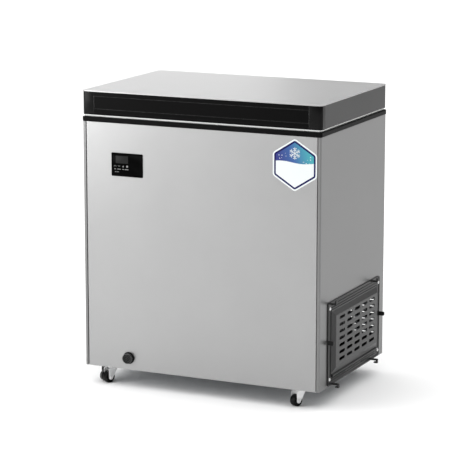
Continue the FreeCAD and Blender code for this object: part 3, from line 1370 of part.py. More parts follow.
def build_foam():
    """Foam between the panels and the tub, shaped by what it touches. The coils are cast into it."""
    side = HALF_CABINET - SHEET
    low = block(-side, side, FRONT + SHEET, BACK - SHEET, TRAY_SHEET, CABINET_HEIGHT)
    top = COLLAR_Z - COLLAR_TOP
    inset = COLLAR_WALL
    high = block(-HALF_LID + inset, HALF_LID - inset, inset, COLLAR_BACK - inset, CABINET_HEIGHT, top)
    machine_room = block(
        COMPARTMENT_LEFT - SHEET, side, COMPARTMENT_FRONT - SHEET, BACK - SHEET, 0, COMPARTMENT_HEIGHT + SHEET
    )
    under_ledge = mouth_prism(LEDGE_WIDTH + COLLAR_TOP, FLANGE_TOP, COLLAR_Z)
    flange = mouth_prism(LINER_FLANGE, FLANGE_TOP - SHEET, FLANGE_TOP)
    tools = [machine_room, tub(SHEET), under_ledge, flange]
    tools.append(panel_block(BOX_INSET, FRONT, FRONT + SHEET + CONTROL_BOX_DEPTH))
    tools.append(Part.makeCylinder(SPIGOT_RADIUS, SPIGOT_END, Vector(DRAIN_X, 0, DRAIN_Z), Y_AXIS))
    tools.append(drain_run(DRAIN_TUBE_RADIUS))
    tools += [panel_groove(), mirror_x(panel_groove())]
    for name in FOAM_NEIGHBOURS:
        tools += nodes[name].Solids
    nodes["insulation_foam"] = largest_solid(cut_all(fuse_all([low, high]), tools))


def build_everything():
    """Make every node."""
    build_cabinet()
    build_vent()
    build_machinery()
    build_hinges()
    build_casters()
    build_lid()
    build_foam()
    nodes["basket"] = basket()


def frame_origin():
    """Middle of the whole freezer's bounding box, at the floor."""
    bounds = FreeCAD.BoundBox()
    for shape in nodes.values():
        bounds.add(shape.optimalBoundingBox(False, False))
    return Vector(bounds.Center.x, bounds.Center.y, bounds.ZMin)


def export_everything(origin):
    """Move every node into the frame and write it as its own STEP file."""
    os.makedirs("parts", exist_ok=True)
    for name, shape in nodes.items():
        moved = shape.copy()
        moved.translate(-origin)
        moved.exportStep(os.path.join("parts", name + ".step"))


build_everything()
ORIGIN = frame_origin()
export_everything(ORIGIN)
print("nodes", len(nodes))
print("origin", ORIGIN)
print("lid hinge axis", Vector(0, HINGE_Y, HINGE_Z) - ORIGIN)
for caster_name, (caster_x, caster_y) in CASTER_PLACES.items():
    print(caster_name, Vector(caster_x, caster_y, AXLE_Z) - ORIGIN)
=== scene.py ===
# %% [markdown]
# # A small chest freezer with a silver front, a black handle channel and four casters
# The imported model is the fixed frame: it brings every sheet, tube and screw at its true size,
# in metres, with the floor at z = 0 and the front looking along -Y. This lesson gives each of
# those parts its finish, and models again the pieces a buyer looks at most closely.

# %% Load the frame
import json
import math
import random

import bmesh
import bpy
from mathutils import Matrix, Vector


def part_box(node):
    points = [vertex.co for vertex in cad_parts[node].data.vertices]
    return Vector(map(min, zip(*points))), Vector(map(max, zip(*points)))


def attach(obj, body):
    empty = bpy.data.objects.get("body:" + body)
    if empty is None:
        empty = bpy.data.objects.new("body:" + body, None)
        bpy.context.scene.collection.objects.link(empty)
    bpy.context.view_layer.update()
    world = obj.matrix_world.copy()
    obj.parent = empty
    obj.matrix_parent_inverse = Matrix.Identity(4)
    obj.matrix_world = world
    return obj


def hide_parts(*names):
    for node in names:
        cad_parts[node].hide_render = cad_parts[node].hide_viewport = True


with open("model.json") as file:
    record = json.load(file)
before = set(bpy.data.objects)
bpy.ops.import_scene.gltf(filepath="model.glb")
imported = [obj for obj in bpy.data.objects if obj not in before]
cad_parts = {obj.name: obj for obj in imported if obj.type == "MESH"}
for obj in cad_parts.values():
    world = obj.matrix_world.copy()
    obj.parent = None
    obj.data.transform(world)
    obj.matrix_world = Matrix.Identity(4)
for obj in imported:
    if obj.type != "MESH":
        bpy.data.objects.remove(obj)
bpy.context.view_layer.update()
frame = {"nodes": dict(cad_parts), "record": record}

BODY_OF_NODE = {node: body for body, members in frame["record"]["behaviour"]["bodies"].items()
                for node in members}
MM = 0.001

# %% [markdown]
# ## Camera, floor and light
# A product shot of an appliance is taken from well back with a long lens, so the sides stay
# nearly parallel. The camera stands to the right of the freezer and a little above its lid.
# The floor is one pale sheet, big enough to be the backdrop too.

# %% Camera
camera_data = bpy.data.cameras.new("shop_camera")
camera_data.lens = 177.0
camera_data.sensor_width = 36.0
camera_data.clip_end = 100.0
camera = bpy.data.objects.new("shop_camera", camera_data)
camera.location = (2.6635, -5.8193, 1.741)
camera.rotation_euler = (math.radians(90 - 11.3), 0, math.radians(24.99))
bpy.context.scene.collection.objects.link(camera)
bpy.context.scene.camera = camera
print("camera", tuple(camera.location), "lens", camera_data.lens)

# %% [markdown]
# The light is a white room with one large soft box on the left. Silver paint shows little
# colour of its own: it looks bright where it mirrors the soft box or the lit floor, and
# darker where it mirrors the far side of the room. That gives the front its fall from
# bright on the left to grey on the right. The side's darker grey and the lid's lighter
# silver are painted into their colours, as painted shade and painted light.

# %% Floor and lights
def soft_box(name, place, target, size, watts, tall=None):
    """A rectangular studio light that faces the target."""
    data = bpy.data.lights.new(name, "AREA")
    data.shape = "RECTANGLE"
    data.size = size
    data.size_y = tall or size
    data.energy = watts
    light = bpy.data.objects.new(name, data)
    light.location = place
    towards = Vector(target) - Vector(place)
    light.rotation_euler = towards.to_track_quat("-Z", "Y").to_euler()
    light.visible_camera = False
    bpy.context.scene.collection.objects.link(light)
    return light


floor_mesh = bpy.data.meshes.new("studio_floor")
floor_form = bmesh.new()
bmesh.ops.create_grid(floor_form, x_segments=1, y_segments=1, size=40.0)
floor_form.to_mesh(floor_mesh)
floor_form.free()
floor = bpy.data.objects.new("studio_floor", floor_mesh)
bpy.context.scene.collection.objects.link(floor)

floor_paint = bpy.data.materials.new("studio_floor")
floor_paint.use_nodes = True
floor_shader = floor_paint.node_tree.nodes["Principled BSDF"]
floor_shader.inputs["Base Color"].default_value = (0.93, 0.93, 0.93, 1)
floor_shader.inputs["Roughness"].default_value = 0.9
floor_shader.inputs["Specular IOR Level"].default_value = 0.1
floor_mesh.materials.append(floor_paint)

room = bpy.data.worlds.new("studio_room")
room.use_nodes = True
room.node_tree.nodes["Background"].inputs["Color"].default_value = (1, 1, 1, 1)
room.node_tree.nodes["Background"].inputs["Strength"].default_value = 0.15
bpy.context.scene.world = room

sun_data = bpy.data.lights.new("ceiling", "SUN")
sun_data.energy = 3.6
sun_data.angle = math.radians(100)
sun = bpy.data.objects.new("ceiling", sun_data)
bpy.context.scene.collection.objects.link(sun)
soft_box("left_box", (-2.2, -2.6, 1.3), (-0.2, -0.2, 0.45), 1.6, 34)
soft_box("left_strip", (-1.0, -0.95, 0.95), (-0.3, -0.25, 0.55), 0.5, 4.0, tall=0.9)
soft_box("back_box", (-2.2, 3.4, 1.5), (-0.2, 0.1, 0.87), 1.6, 4.4, tall=1.2)
soft_box("right_box", (2.4, 2.4, 1.2), (0.36, 0, 0.45), 1.4, 7.0)
bpy.context.scene.view_settings.view_transform = "Standard"

# %% [markdown]
# ## Effects that many finishes share
# Real sheet, paint and moulded plastic are never one flat value. Three effects are built once
# as node groups and placed in each material with its own numbers:
# the fine relief of a surface, the slow drift of its gloss and tone where hands and rollers
# have been, and the light rub along its edges, which also paints highlight lines on edges.
# They put out masks and heights only, and the shader itself stays in the material.

# %% Node group helpers
def new_group(name, inputs, outputs):
    """An empty shader node group with float inputs and the outputs asked for."""
    group = bpy.data.node_groups.new(name, "ShaderNodeTree")
    for label, value in inputs:
        socket = group.interface.new_socket(label, in_out="INPUT", socket_type="NodeSocketFloat")
        socket.default_value = value
    for label, kind in outputs:
        group.interface.new_socket(label, in_out="OUTPUT", socket_type="NodeSocket" + kind)
    return group, group.nodes.new("NodeGroupInput"), group.nodes.new("NodeGroupOutput")


def math_node(tree, operation, first, second):
    """A Math node whose inputs are sockets or plain numbers."""
    node = tree.nodes.new("ShaderNodeMath")
    node.operation = operation
    for index, value in enumerate((first, second)):
        if isinstance(value, (int, float)):
            node.inputs[index].default_value = value
        else:
            tree.links.new(value, node.inputs[index])
    return node.outputs[0]


def noise_on_object(tree, scale, detail, stretch=(1, 1, 1)):
    """Noise laid on the object's own metres, so it stays put when the piece moves."""
    place = tree.nodes.new("ShaderNodeTexCoord")
    mapping = tree.nodes.new("ShaderNodeMapping")
    mapping.inputs["Scale"].default_value = stretch
    noise = tree.nodes.new("ShaderNodeTexNoise")
    noise.inputs["Detail"].default_value = detail
    tree.links.new(place.outputs["Object"], mapping.inputs["Vector"])
    tree.links.new(mapping.outputs["Vector"], noise.inputs["Vector"])
    if isinstance(scale, (int, float)):
        noise.inputs["Scale"].default_value = scale
    else:
        tree.links.new(scale, noise.inputs["Scale"])
    return noise.outputs["Fac"]


# %% Fine relief
relief, relief_in, relief_out = new_group(
    "fine_relief", [("Scale", 900.0), ("Coarse Share", 0.3)], [("Height", "Float"), ("Tone", "Float")]
)
fine = noise_on_object(relief, relief_in.outputs["Scale"], 2.0)
coarse_scale = math_node(relief, "MULTIPLY", relief_in.outputs["Scale"], 0.22)
coarse = noise_on_object(relief, coarse_scale, 1.0)
coarse_part = math_node(relief, "MULTIPLY", coarse, relief_in.outputs["Coarse Share"])
height = math_node(relief, "ADD", fine, coarse_part)
relief.links.new(height, relief_out.inputs["Height"])
relief.links.new(fine, relief_out.inputs["Tone"])
print("group", relief.name, [s.name for s in relief.interface.items_tree])

# %% Slow drift of gloss and tone
drift, drift_in, drift_out = new_group(
    "handling_drift", [("Scale", 6.0), ("Low", 0.3), ("High", 0.4)],
    [("Roughness", "Float"), ("Tone", "Float")]
)
broad = noise_on_object(drift, drift_in.outputs["Scale"], 4.0)
span = math_node(drift, "SUBTRACT", drift_in.outputs["High"], drift_in.outputs["Low"])
lift = math_node(drift, "MULTIPLY", broad, span)
gloss = math_node(drift, "ADD", lift, drift_in.outputs["Low"])
drift.links.new(gloss, drift_out.inputs["Roughness"])
drift.links.new(broad, drift_out.inputs["Tone"])
print("group", drift.name)

# %% Rubbed edges and painted edge highlights
edge_rub_highlight, edge_rub_highlight_in, edge_rub_highlight_out = new_group("rubbed_and_highlit_edges", [("Amount", 0.3), ("Sharpness", 3.0)], [("Mask", "Float")])
# The mask lightens edges as wear and also paints highlight lines on them; its 2 mm radius is wide enough
# for the lines to show on rounded lips.
rounded = edge_rub_highlight.nodes.new("ShaderNodeBevel")
rounded.samples = 4
rounded.inputs["Radius"].default_value = 2.0 * MM
sharp = edge_rub_highlight.nodes.new("ShaderNodeNewGeometry")
agreement = edge_rub_highlight.nodes.new("ShaderNodeVectorMath")
agreement.operation = "DOT_PRODUCT"
edge_rub_highlight.links.new(rounded.outputs["Normal"], agreement.inputs[0])
edge_rub_highlight.links.new(sharp.outputs["Normal"], agreement.inputs[1])
turn = math_node(edge_rub_highlight, "SUBTRACT", 1.0, agreement.outputs["Value"])
steep = math_node(edge_rub_highlight, "MULTIPLY", turn, edge_rub_highlight_in.outputs["Sharpness"])
patchy = math_node(edge_rub_highlight, "MULTIPLY", steep, noise_on_object(edge_rub_highlight, 60.0, 3.0))
held = edge_rub_highlight.nodes.new("ShaderNodeClamp")
edge_rub_highlight.links.new(math_node(edge_rub_highlight, "MULTIPLY", patchy, edge_rub_highlight_in.outputs["Amount"]), held.inputs["Value"])
edge_rub_highlight.links.new(held.outputs["Result"], edge_rub_highlight_out.inputs["Mask"])
print("group", edge_rub_highlight.name)

# %% [markdown]
# ## Finishes
# One maker's recipe covers them all: a base colour that wanders a little between two tones,
# a roughness that wanders between two values, a fine relief in the bump, and a paler rub on
# the edges that is both wear and a painted edge highlight. What differs is the numbers: silver
# paint is metallic with a fine orange peel, moulded plastic is a dull insulator with
# spark-eroded grain, and plated screws are bright.

# %% The recipe
def group_node(tree, group, **values):
    """Place a shared group in a material, with its own values."""
    node = tree.nodes.new("ShaderNodeGroup")
    node.node_tree = group
    for label, value in values.items():
        node.inputs[label.replace("_", " ")].default_value = value
    return node


def mix_colours(tree, share, first, second):
    """Mix node between two colours or colour sockets."""
    node = tree.nodes.new("ShaderNodeMix")
    node.data_type = "RGBA"
    tree.links.new(share, node.inputs["Factor"])
    for socket, value in zip((node.inputs[6], node.inputs[7]), (first, second)):
        if isinstance(value, tuple):
            socket.default_value = (*value, 1)
        else:
            tree.links.new(value, socket)
    return node.outputs[2]


FINISHES = {}


def finish(name, tone, tone_b, rough, metal=0.0, grain=900.0, depth=0.02, edge_rub_and_highlight=0.0, coat=0.0,
           drift_scale=6.0, coarse=0.3, specular=0.5):
    """One finish: two tones, a roughness span, relief depth in millimetres, and edge wear that also paints
    edge highlights.
    """
    material = bpy.data.materials.new(name)
    material.use_nodes = True
    tree = material.node_tree
    shader = tree.nodes["Principled BSDF"]
    shader.inputs["Metallic"].default_value = metal
    shader.inputs["Coat Weight"].default_value = coat
    shader.inputs["Coat Roughness"].default_value = 0.08
    shader.inputs["Specular IOR Level"].default_value = specular
    surface = group_node(tree, relief, Scale=grain, Coarse_Share=coarse)
    handled = group_node(tree, drift, Scale=drift_scale, Low=rough[0], High=rough[1])
    tones = math_node(tree, "ADD", math_node(tree, "MULTIPLY", surface.outputs["Tone"], 0.5),
                      math_node(tree, "MULTIPLY", handled.outputs["Tone"], 0.5))
    colour = mix_colours(tree, tones, tone, tone_b)
    if edge_rub_and_highlight > 0:
        edges = group_node(tree, edge_rub_highlight, Amount=edge_rub_and_highlight)
        rub_and_highlight_tone = tuple(min(1.0, 0.25 + 0.75 * c) for c in tone_b)
        colour = mix_colours(tree, edges.outputs["Mask"], colour, rub_and_highlight_tone)
    tree.links.new(colour, shader.inputs["Base Color"])
    tree.links.new(handled.outputs["Roughness"], shader.inputs["Roughness"])
    bump = tree.nodes.new("ShaderNodeBump")
    bump.inputs["Distance"].default_value = depth * MM
    bump.inputs["Strength"].default_value = 0.6
    tree.links.new(surface.outputs["Height"], bump.inputs["Height"])
    tree.links.new(bump.outputs["Normal"], shader.inputs["Normal"])
    FINISHES[name] = material
    return material


def grey(value, warm=0.0):
    """A grey as linear colour, a little warm or cold."""
    return (value * (1 + warm), value, value * (1 - warm))


# %% Sheet metals
# steel_front, steel_side and steel_lid are one silver sheet in three tones: the side's darker tone is
# painted shade, and the lid's much lighter tone is painted light.
finish("steel_front", grey(0.325), grey(0.40), (0.34, 0.40), metal=0.85, grain=700, depth=0.012, coarse=0.5)
finish("steel_side", grey(0.185), grey(0.23), (0.36, 0.44), metal=0.75, grain=700, depth=0.012, coarse=0.5)
lid_steel = finish("steel_lid", grey(0.80), grey(0.86), (0.34, 0.40), metal=0.85, grain=700, depth=0.010,
                   coarse=0.4)
lid_tree = lid_steel.node_tree
# The lid's colour paints light and shade: the hem and rim, facing sideways, get a flat grey 0.42 as painted
# shade, and the top changes with viewing angle, from grey 0.30 seen square on to the full steel tone at low
# angles, as a painted sheen.
facing = lid_tree.nodes.new("ShaderNodeSeparateXYZ")
lid_tree.links.new(lid_tree.nodes.new("ShaderNodeTexCoord").outputs["Normal"], facing.inputs[0])
painted_hem_shade_mask = math_node(lid_tree, "MULTIPLY", facing.outputs["Z"], facing.outputs["Z"])
lid_shader = lid_tree.nodes["Principled BSDF"]
rolled_top = lid_shader.inputs["Base Color"].links[0].from_socket
painted_sheen_angle = lid_tree.nodes.new("ShaderNodeLayerWeight")
painted_sheen_angle.inputs["Blend"].default_value = 0.5
PAINTED_SHEEN_FROM = 0.75
painted_sheen_mask = math_node(lid_tree, "MINIMUM",
                      math_node(lid_tree, "DIVIDE", painted_sheen_angle.outputs["Facing"], PAINTED_SHEEN_FROM), 1.0)
painted_sheen_top = mix_colours(lid_tree, painted_sheen_mask, grey(0.30), rolled_top)
lid_tree.links.new(mix_colours(lid_tree, painted_hem_shade_mask, grey(0.42), painted_sheen_top), lid_shader.inputs["Base Color"])
finish("galvanised_sheet", grey(0.42, -0.02), grey(0.60, -0.03), (0.30, 0.50), metal=0.9, grain=180,
       depth=0.01, drift_scale=30)
finish("hinge_zinc", grey(0.50, -0.02), grey(0.62, -0.02), (0.26, 0.36), metal=1.0, grain=500, depth=0.01,
       edge_rub_and_highlight=0.2)
finish("zinc_fastener", grey(0.52, 0.02), grey(0.66, 0.02), (0.22, 0.32), metal=1.0, grain=600, depth=0.006)
finish("chrome_screw", grey(0.72), grey(0.80), (0.12, 0.20), metal=1.0, grain=600, depth=0.004)
finish("caster_zinc", grey(0.84), grey(0.90), (0.28, 0.36), metal=0.45, grain=500, depth=0.008, edge_rub_and_highlight=0.1)
finish("spring_steel", grey(0.24), grey(0.34), (0.28, 0.40), metal=1.0, grain=500, depth=0.01)
finish("steel_tube", grey(0.05), grey(0.08), (0.38, 0.50), metal=0.4, grain=500, depth=0.01)
finish("copper", (0.72, 0.36, 0.22), (0.80, 0.45, 0.30), (0.24, 0.40), metal=1.0, grain=400, depth=0.01,
       drift_scale=40)
finish("aluminium_tube", grey(0.62), grey(0.72), (0.30, 0.42), metal=1.0, grain=500, depth=0.01)

# %% Plastics and rubbers
finish("white_liner", (0.80, 0.81, 0.80), (0.84, 0.85, 0.84), (0.30, 0.38), grain=650, depth=0.03, edge_rub_and_highlight=0.1)
finish("white_lid_liner", (0.80, 0.81, 0.80), (0.84, 0.85, 0.84), (0.32, 0.42), grain=650, depth=0.03)
finish("black_collar", grey(0.004), grey(0.006), (0.32, 0.42), grain=900, depth=0.02, edge_rub_and_highlight=0.1,
       specular=0.03)
# The strong edge rub here paints highlight lines along the channel's lips and ends, besides wear.
finish("handle_black", grey(0.003), grey(0.005), (0.28, 0.38), grain=900, depth=0.012, edge_rub_and_highlight=0.5,
       specular=0.03)
finish("cap_gloss", grey(0.004), grey(0.006), (0.16, 0.22), grain=700, depth=0.004, specular=0.09)
finish("lid_side_plastic", grey(0.028), grey(0.036), (0.36, 0.44), grain=900, depth=0.02, specular=0.22)
finish("black_gloss_panel", grey(0.0008), grey(0.0012), (0.10, 0.14), grain=500, depth=0.002,
       specular=0.015)
finish("display_smoked", grey(0.020), grey(0.023), (0.14, 0.18), grain=500, depth=0.002, specular=0.03)
finish("housing_plastic", grey(0.022), grey(0.030), (0.42, 0.52), grain=800, depth=0.03)
finish("vent_plastic", grey(0.012), grey(0.018), (0.34, 0.44), grain=1000, depth=0.03, edge_rub_and_highlight=0.15,
       specular=0.22)
finish("drain_plastic", grey(0.008), grey(0.012), (0.30, 0.42), grain=900, depth=0.03, edge_rub_and_highlight=0.3,
       specular=0.16)
finish("brake_plastic", grey(0.05), grey(0.06), (0.16, 0.24), grain=800, depth=0.01)
finish("wheel_black", grey(0.003), grey(0.005), (0.30, 0.42), grain=700, depth=0.03, specular=0.12)
finish("white_tube", (0.70, 0.71, 0.70), (0.78, 0.79, 0.78), (0.36, 0.46), grain=600, depth=0.02)
finish("grey_rubber", grey(0.16), grey(0.20), (0.50, 0.62), grain=800, depth=0.04)
finish("gasket_white", (0.78, 0.79, 0.78), (0.86, 0.87, 0.86), (0.42, 0.52), grain=700, depth=0.02)
finish("black_rubber", grey(0.012), grey(0.018), (0.55, 0.70), grain=700, depth=0.05)
finish("black_enamel", grey(0.008), grey(0.012), (0.16, 0.26), grain=260, depth=0.02, coat=0.3, edge_rub_and_highlight=0.2)
finish("foam", (0.72, 0.60, 0.34), (0.82, 0.72, 0.46), (0.80, 0.92), grain=320, depth=0.25)
finish("circuit_board", (0.015, 0.10, 0.04), (0.02, 0.14, 0.06), (0.30, 0.40), grain=700, depth=0.02)
finish("basket_wire", (0.76, 0.77, 0.77), (0.84, 0.85, 0.85), (0.24, 0.32), grain=500, depth=0.02, coat=0.3)
finish("label_film", (0.80, 0.84, 0.84), (0.86, 0.89, 0.89), (0.26, 0.32), grain=400, depth=0.003)
print("finishes", len(FINISHES))

# %% [markdown]
# ## Dressing the frame
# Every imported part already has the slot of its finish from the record. The pieces that are
# right in shape keep their mesh, and only their material slot changes here.

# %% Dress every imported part
SLOT_OF_NODE = {row["node"]: row["material_slot"] for row in frame["record"]["subparts"]}
for node, packed in frame["nodes"].items():
    packed.data.materials.clear()
    packed.data.materials.append(FINISHES[SLOT_OF_NODE[node]])
print("dressed", len(SLOT_OF_NODE))

# %% [markdown]
# ## Pieces modelled again
# The imported parts are exact but plain. The handle channel, its corner caps, the seal, the
# fascia, the badge, the drain cap and the wheels are what people look at and touch, so each is
# modelled again as a mesh with its real rounded edges, then stands in for its imported part.

# %% Helpers for a modelled piece
def piece(name, form, slot, node=None, body=None, material=None, sharp=35.0, more=()):
    """Turn a mesh under construction into a finished piece that rides on its body."""
    bmesh.ops.remove_doubles(form, verts=form.verts, dist=1e-6)
    bmesh.ops.recalc_face_normals(form, faces=form.faces)
    mesh = bpy.data.meshes.new(name)
    form.to_mesh(mesh)
    form.free()
    mesh.shade_smooth()
    mesh.set_sharp_from_angle(angle=math.radians(sharp))
    for worn in (material or FINISHES[slot], *more):
        mesh.materials.append(worn)
    made = bpy.data.objects.new(name, mesh)
    bpy.context.scene.collection.objects.link(made)
    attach(made, body or BODY_OF_NODE[node])
    if node:
        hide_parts(node)
    print(name, len(mesh.polygons), "faces on", body or BODY_OF_NODE[node])
    return made


def add_box(form, low, high):
    """A box between two corners; gives back its vertices."""
    corners = bmesh.ops.create_cube(form, size=1.0)["verts"]
    bmesh.ops.scale(form, vec=Vector(high) - Vector(low), verts=corners)
    bmesh.ops.translate(form, vec=(Vector(high) + Vector(low)) / 2, verts=corners)
    return corners


def edges_along(form, axis, keep=lambda middle: True):
    """Edges that run along one axis and whose middle passes the test."""
    form.edges.ensure_lookup_table()
    found = []
    for edge in form.edges:
        run = edge.verts[1].co - edge.verts[0].co
        middle = (edge.verts[0].co + edge.verts[1].co) / 2
        if run.length > 0 and abs(run[axis]) > 0.999 * run.length and keep(middle):
            found.append(edge)
    return found


def round_off(form, edges, radius, segments=3):
    """Round edges as a mould or a press would."""
    bmesh.ops.bevel(form, geom=edges, offset=radius, segments=segments, profile=0.5, affect="EDGES",
                    material=-1, clamp_overlap=True)


def face_towards(form, direction):
    """The face that looks most squarely along a direction and lies furthest out."""
    form.normal_update()
    way = Vector(direction)
    square_on = [face for face in form.faces if face.normal.dot(way) > 0.99]
    return max(square_on, key=lambda face: face.calc_center_median().dot(way))


def push_in(form, face, step):
    """Extrude one face by a step and give back the new face."""
    new = bmesh.ops.extrude_face_region(form, geom=[face])["geom"]
    moved = [item for item in new if isinstance(item, bmesh.types.BMVert)]
    bmesh.ops.translate(form, vec=step, verts=moved)
    return next(item for item in new if isinstance(item, bmesh.types.BMFace))


# %% [markdown]
# ### The handle channel
# The whole front of the lid is one black extrusion with a deep finger channel. It starts as a
# box; the front face is inset and pushed in, so the lips stay in one piece with the body.

# %% Handle channel
low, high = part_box("lid_front_trim")
LIP_TOP, LIP_BOTTOM, CHANNEL_DEPTH = 15.2 * MM, 17.5 * MM, 20 * MM
channel = bmesh.new()
add_box(channel, low, high)
mouth = face_towards(channel, (0, -1, 0))
bmesh.ops.inset_region(channel, faces=[mouth], thickness=0.8 * MM)
for corner in mouth.verts:
    upper = corner.co.z > (low.z + high.z) / 2
    corner.co.z = high.z - LIP_TOP if upper else low.z + LIP_BOTTOM
back_wall = push_in(channel, mouth, (0, CHANNEL_DEPTH, 0))
inner_top = [edge for edge in back_wall.edges
             if all(vert.co.z > high.z - LIP_TOP - 1e-5 for vert in edge.verts)]
round_off(channel, inner_top, 11 * MM, 8)
deepest = low.y + CHANNEL_DEPTH - 1e-5
inner_rest = [edge for edge in channel.edges
              if all(vert.co.y > deepest and low.z + 1 * MM < vert.co.z < high.z - LIP_TOP - 5 * MM
                     for vert in edge.verts)]
round_off(channel, inner_rest, 3 * MM, 4)
lips = edges_along(channel, 0, lambda middle: middle.y < low.y + 0.1 * MM)
round_off(channel, lips, 1.4 * MM, 4)
channel.normal_update()
# Faces inside the channel get painted light: the recess gets a duller, darker black as painted shade, and
# the downward-facing cove under the top lip gets a lighter grey as a painted highlight.
for face in channel.faces:
    middle = face.calc_center_median()
    inside = low.z + LIP_BOTTOM - 1e-4 < middle.z < high.z - LIP_TOP + 1e-4 and middle.y > low.y + 1.5 * MM
    if inside and abs(middle.x) < 0.347:
        face.material_index = 2 if face.normal.z < -0.15 and face.normal.y < -0.1 else 1
channel_painted_shade = finish("channel_painted_shade", grey(0.0030), grey(0.0045), (0.45, 0.55), grain=900, depth=0.03,
                      specular=0.04)
# A lighter grey on the cove under the top lip, a painted highlight.
cove_painted_highlight = finish("cove_painted_highlight", grey(0.030), grey(0.055), (0.40, 0.50), grain=500, depth=0.05,
                      specular=0.2)
piece("handle_channel", channel, "handle_black", "lid_front_trim", more=(channel_painted_shade, cove_painted_highlight))

# %% [markdown]
# ### The corner caps
# A glossy moulded cap closes each end of the channel and turns the lid's corner.

# %% Corner caps
for side_name, outward in (("left", -1), ("right", 1)):
    node = "lid_corner_cap_" + side_name
    low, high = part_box(node)
    cap = bmesh.new()
    add_box(cap, low, high)
    middle_x = (low.x + high.x) / 2
    corner = edges_along(cap, 2, lambda m: (m.x - middle_x) * outward > 0 and m.y < (low.y + high.y) / 2)
    round_off(cap, corner, 11.2 * MM, 12)
    rims = [edge for edge in cap.edges
            if edge.verts[0].co.y < high.y - 1e-5 and edge.verts[1].co.y < high.y - 1e-5
            and abs(edge.verts[0].co.z - edge.verts[1].co.z) < 1e-6]
    round_off(cap, rims, 0.8 * MM, 3)
    seam = edges_along(cap, 2, lambda m: (m.x - middle_x) * outward < 0 and m.y < low.y + 0.002)
    round_off(cap, seam, 0.6 * MM, 3)
    piece("corner_cap_" + side_name, cap, "cap_gloss", node)

# %% [markdown]
# ### The magnetic seal
# The white seal is a soft extrusion with a small bellows, welded into a frame. One rounded
# loop is extruded again and again, each time stepped outwards or down, until the profile
# closes on itself.

# %% Seal
low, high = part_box("lid_gasket")
FLARE = 3.5 * MM
seal = bmesh.new()
corners = [seal.verts.new(place) for place in
           ((low.x - FLARE, low.y - FLARE, high.z), (high.x + FLARE, low.y - FLARE, high.z),
            (high.x + FLARE, high.y, high.z), (low.x - FLARE, high.y, high.z))]
outline = seal.faces.new(corners)
bmesh.ops.bevel(seal, geom=corners, offset=8 * MM, segments=6, profile=0.5, affect="VERTICES", material=-1)
seal_middle = (low + high) / 2
outline = seal.faces[:][0]
first_loop = list(outline.edges)
bmesh.ops.delete(seal, geom=[outline], context="FACES_ONLY")


def step_loop(form, loop, inwards, down):
    """Extrude a loop, drawing it in towards the lid's middle and down."""
    new = bmesh.ops.extrude_edge_only(form, edges=loop)["geom"]
    for vert in (item for item in new if isinstance(item, bmesh.types.BMVert)):
        away = vert.co - seal_middle
        vert.co -= Vector((math.copysign(inwards, away.x), math.copysign(inwards, away.y), down))
    return [item for item in new if isinstance(item, bmesh.types.BMEdge)]


loop = first_loop
for inwards, down in ((1.2, 1.5), (-1.2, 1.5), (1.2, 1.5), (-1.2, 1.5), (3, 0), (1, -0.5), (4, 0),
                      (1, 0.5), (3, 0),
                      (-1, -3), (1, -3)):
    loop = step_loop(seal, loop, inwards * MM, down * MM)
bmesh.ops.bridge_loops(seal, edges=loop + first_loop)
piece("lid_seal", seal, "gasket_white", "lid_gasket", sharp=60)

# %% [markdown]
# ### The fascia
# A gloss-black plate with a smoked window over the display. The touch symbols are printed, so
# each is a very thin raised print: two chevrons to set the temperature, a triangle, a lamp,
# and rows of plain indicator bars.

# %% Fascia plate and window
FRONT_WAY = (0, -1, 0)
low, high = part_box("control_panel")
fascia = bmesh.new()
add_box(fascia, low, high)
round_off(fascia, edges_along(fascia, 1), 3 * MM, 6)
face = face_towards(fascia, FRONT_WAY)
round_off(fascia, list(face.edges), 0.5 * MM, 3)
face = face_towards(fascia, FRONT_WAY)
bmesh.ops.inset_region(fascia, faces=[face], thickness=3.2 * MM)
bmesh.ops.inset_region(fascia, faces=[face], thickness=0.3 * MM, depth=-0.15 * MM)
fascia_face = low.y
piece("fascia_plate", fascia, "black_gloss_panel", "control_panel")

window_low, window_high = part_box("display_window")
window = bmesh.new()
add_box(window, window_low - Vector((0, 0.15 * MM, 0)), window_high)
round_off(window, edges_along(window, 1), 0.8 * MM, 4)
round_off(window, list(face_towards(window, FRONT_WAY).edges), 0.15 * MM, 2)
piece("display_glass", window, "display_smoked", "display_window")

# %% Printed symbols
INK = 0.12 * MM
panel_ink = finish("panel_ink", grey(0.24), grey(0.30), (0.40, 0.50), grain=500, depth=0.002, specular=0.1)


def print_shape(form, outline, y):
    """A flat printed shape from its outline in x and z, given a film's thickness."""
    corners = [form.verts.new((x, y, z)) for x, z in outline]
    ink_face = form.faces.new(corners)
    push_in(form, ink_face, (0, -INK, 0))


def print_bar(form, centre, length, width, angle, y):
    """A printed bar, turned in its plane."""
    x, z = centre
    along = Vector((math.cos(angle), math.sin(angle))) * length / 2
    across = Vector((-math.sin(angle), math.cos(angle))) * width / 2
    outline = [(x + a * along.x + b * across.x, z + a * along.y + b * across.y)
               for a, b in ((-1, -1), (1, -1), (1, 1), (-1, 1))]
    print_shape(form, outline, y)


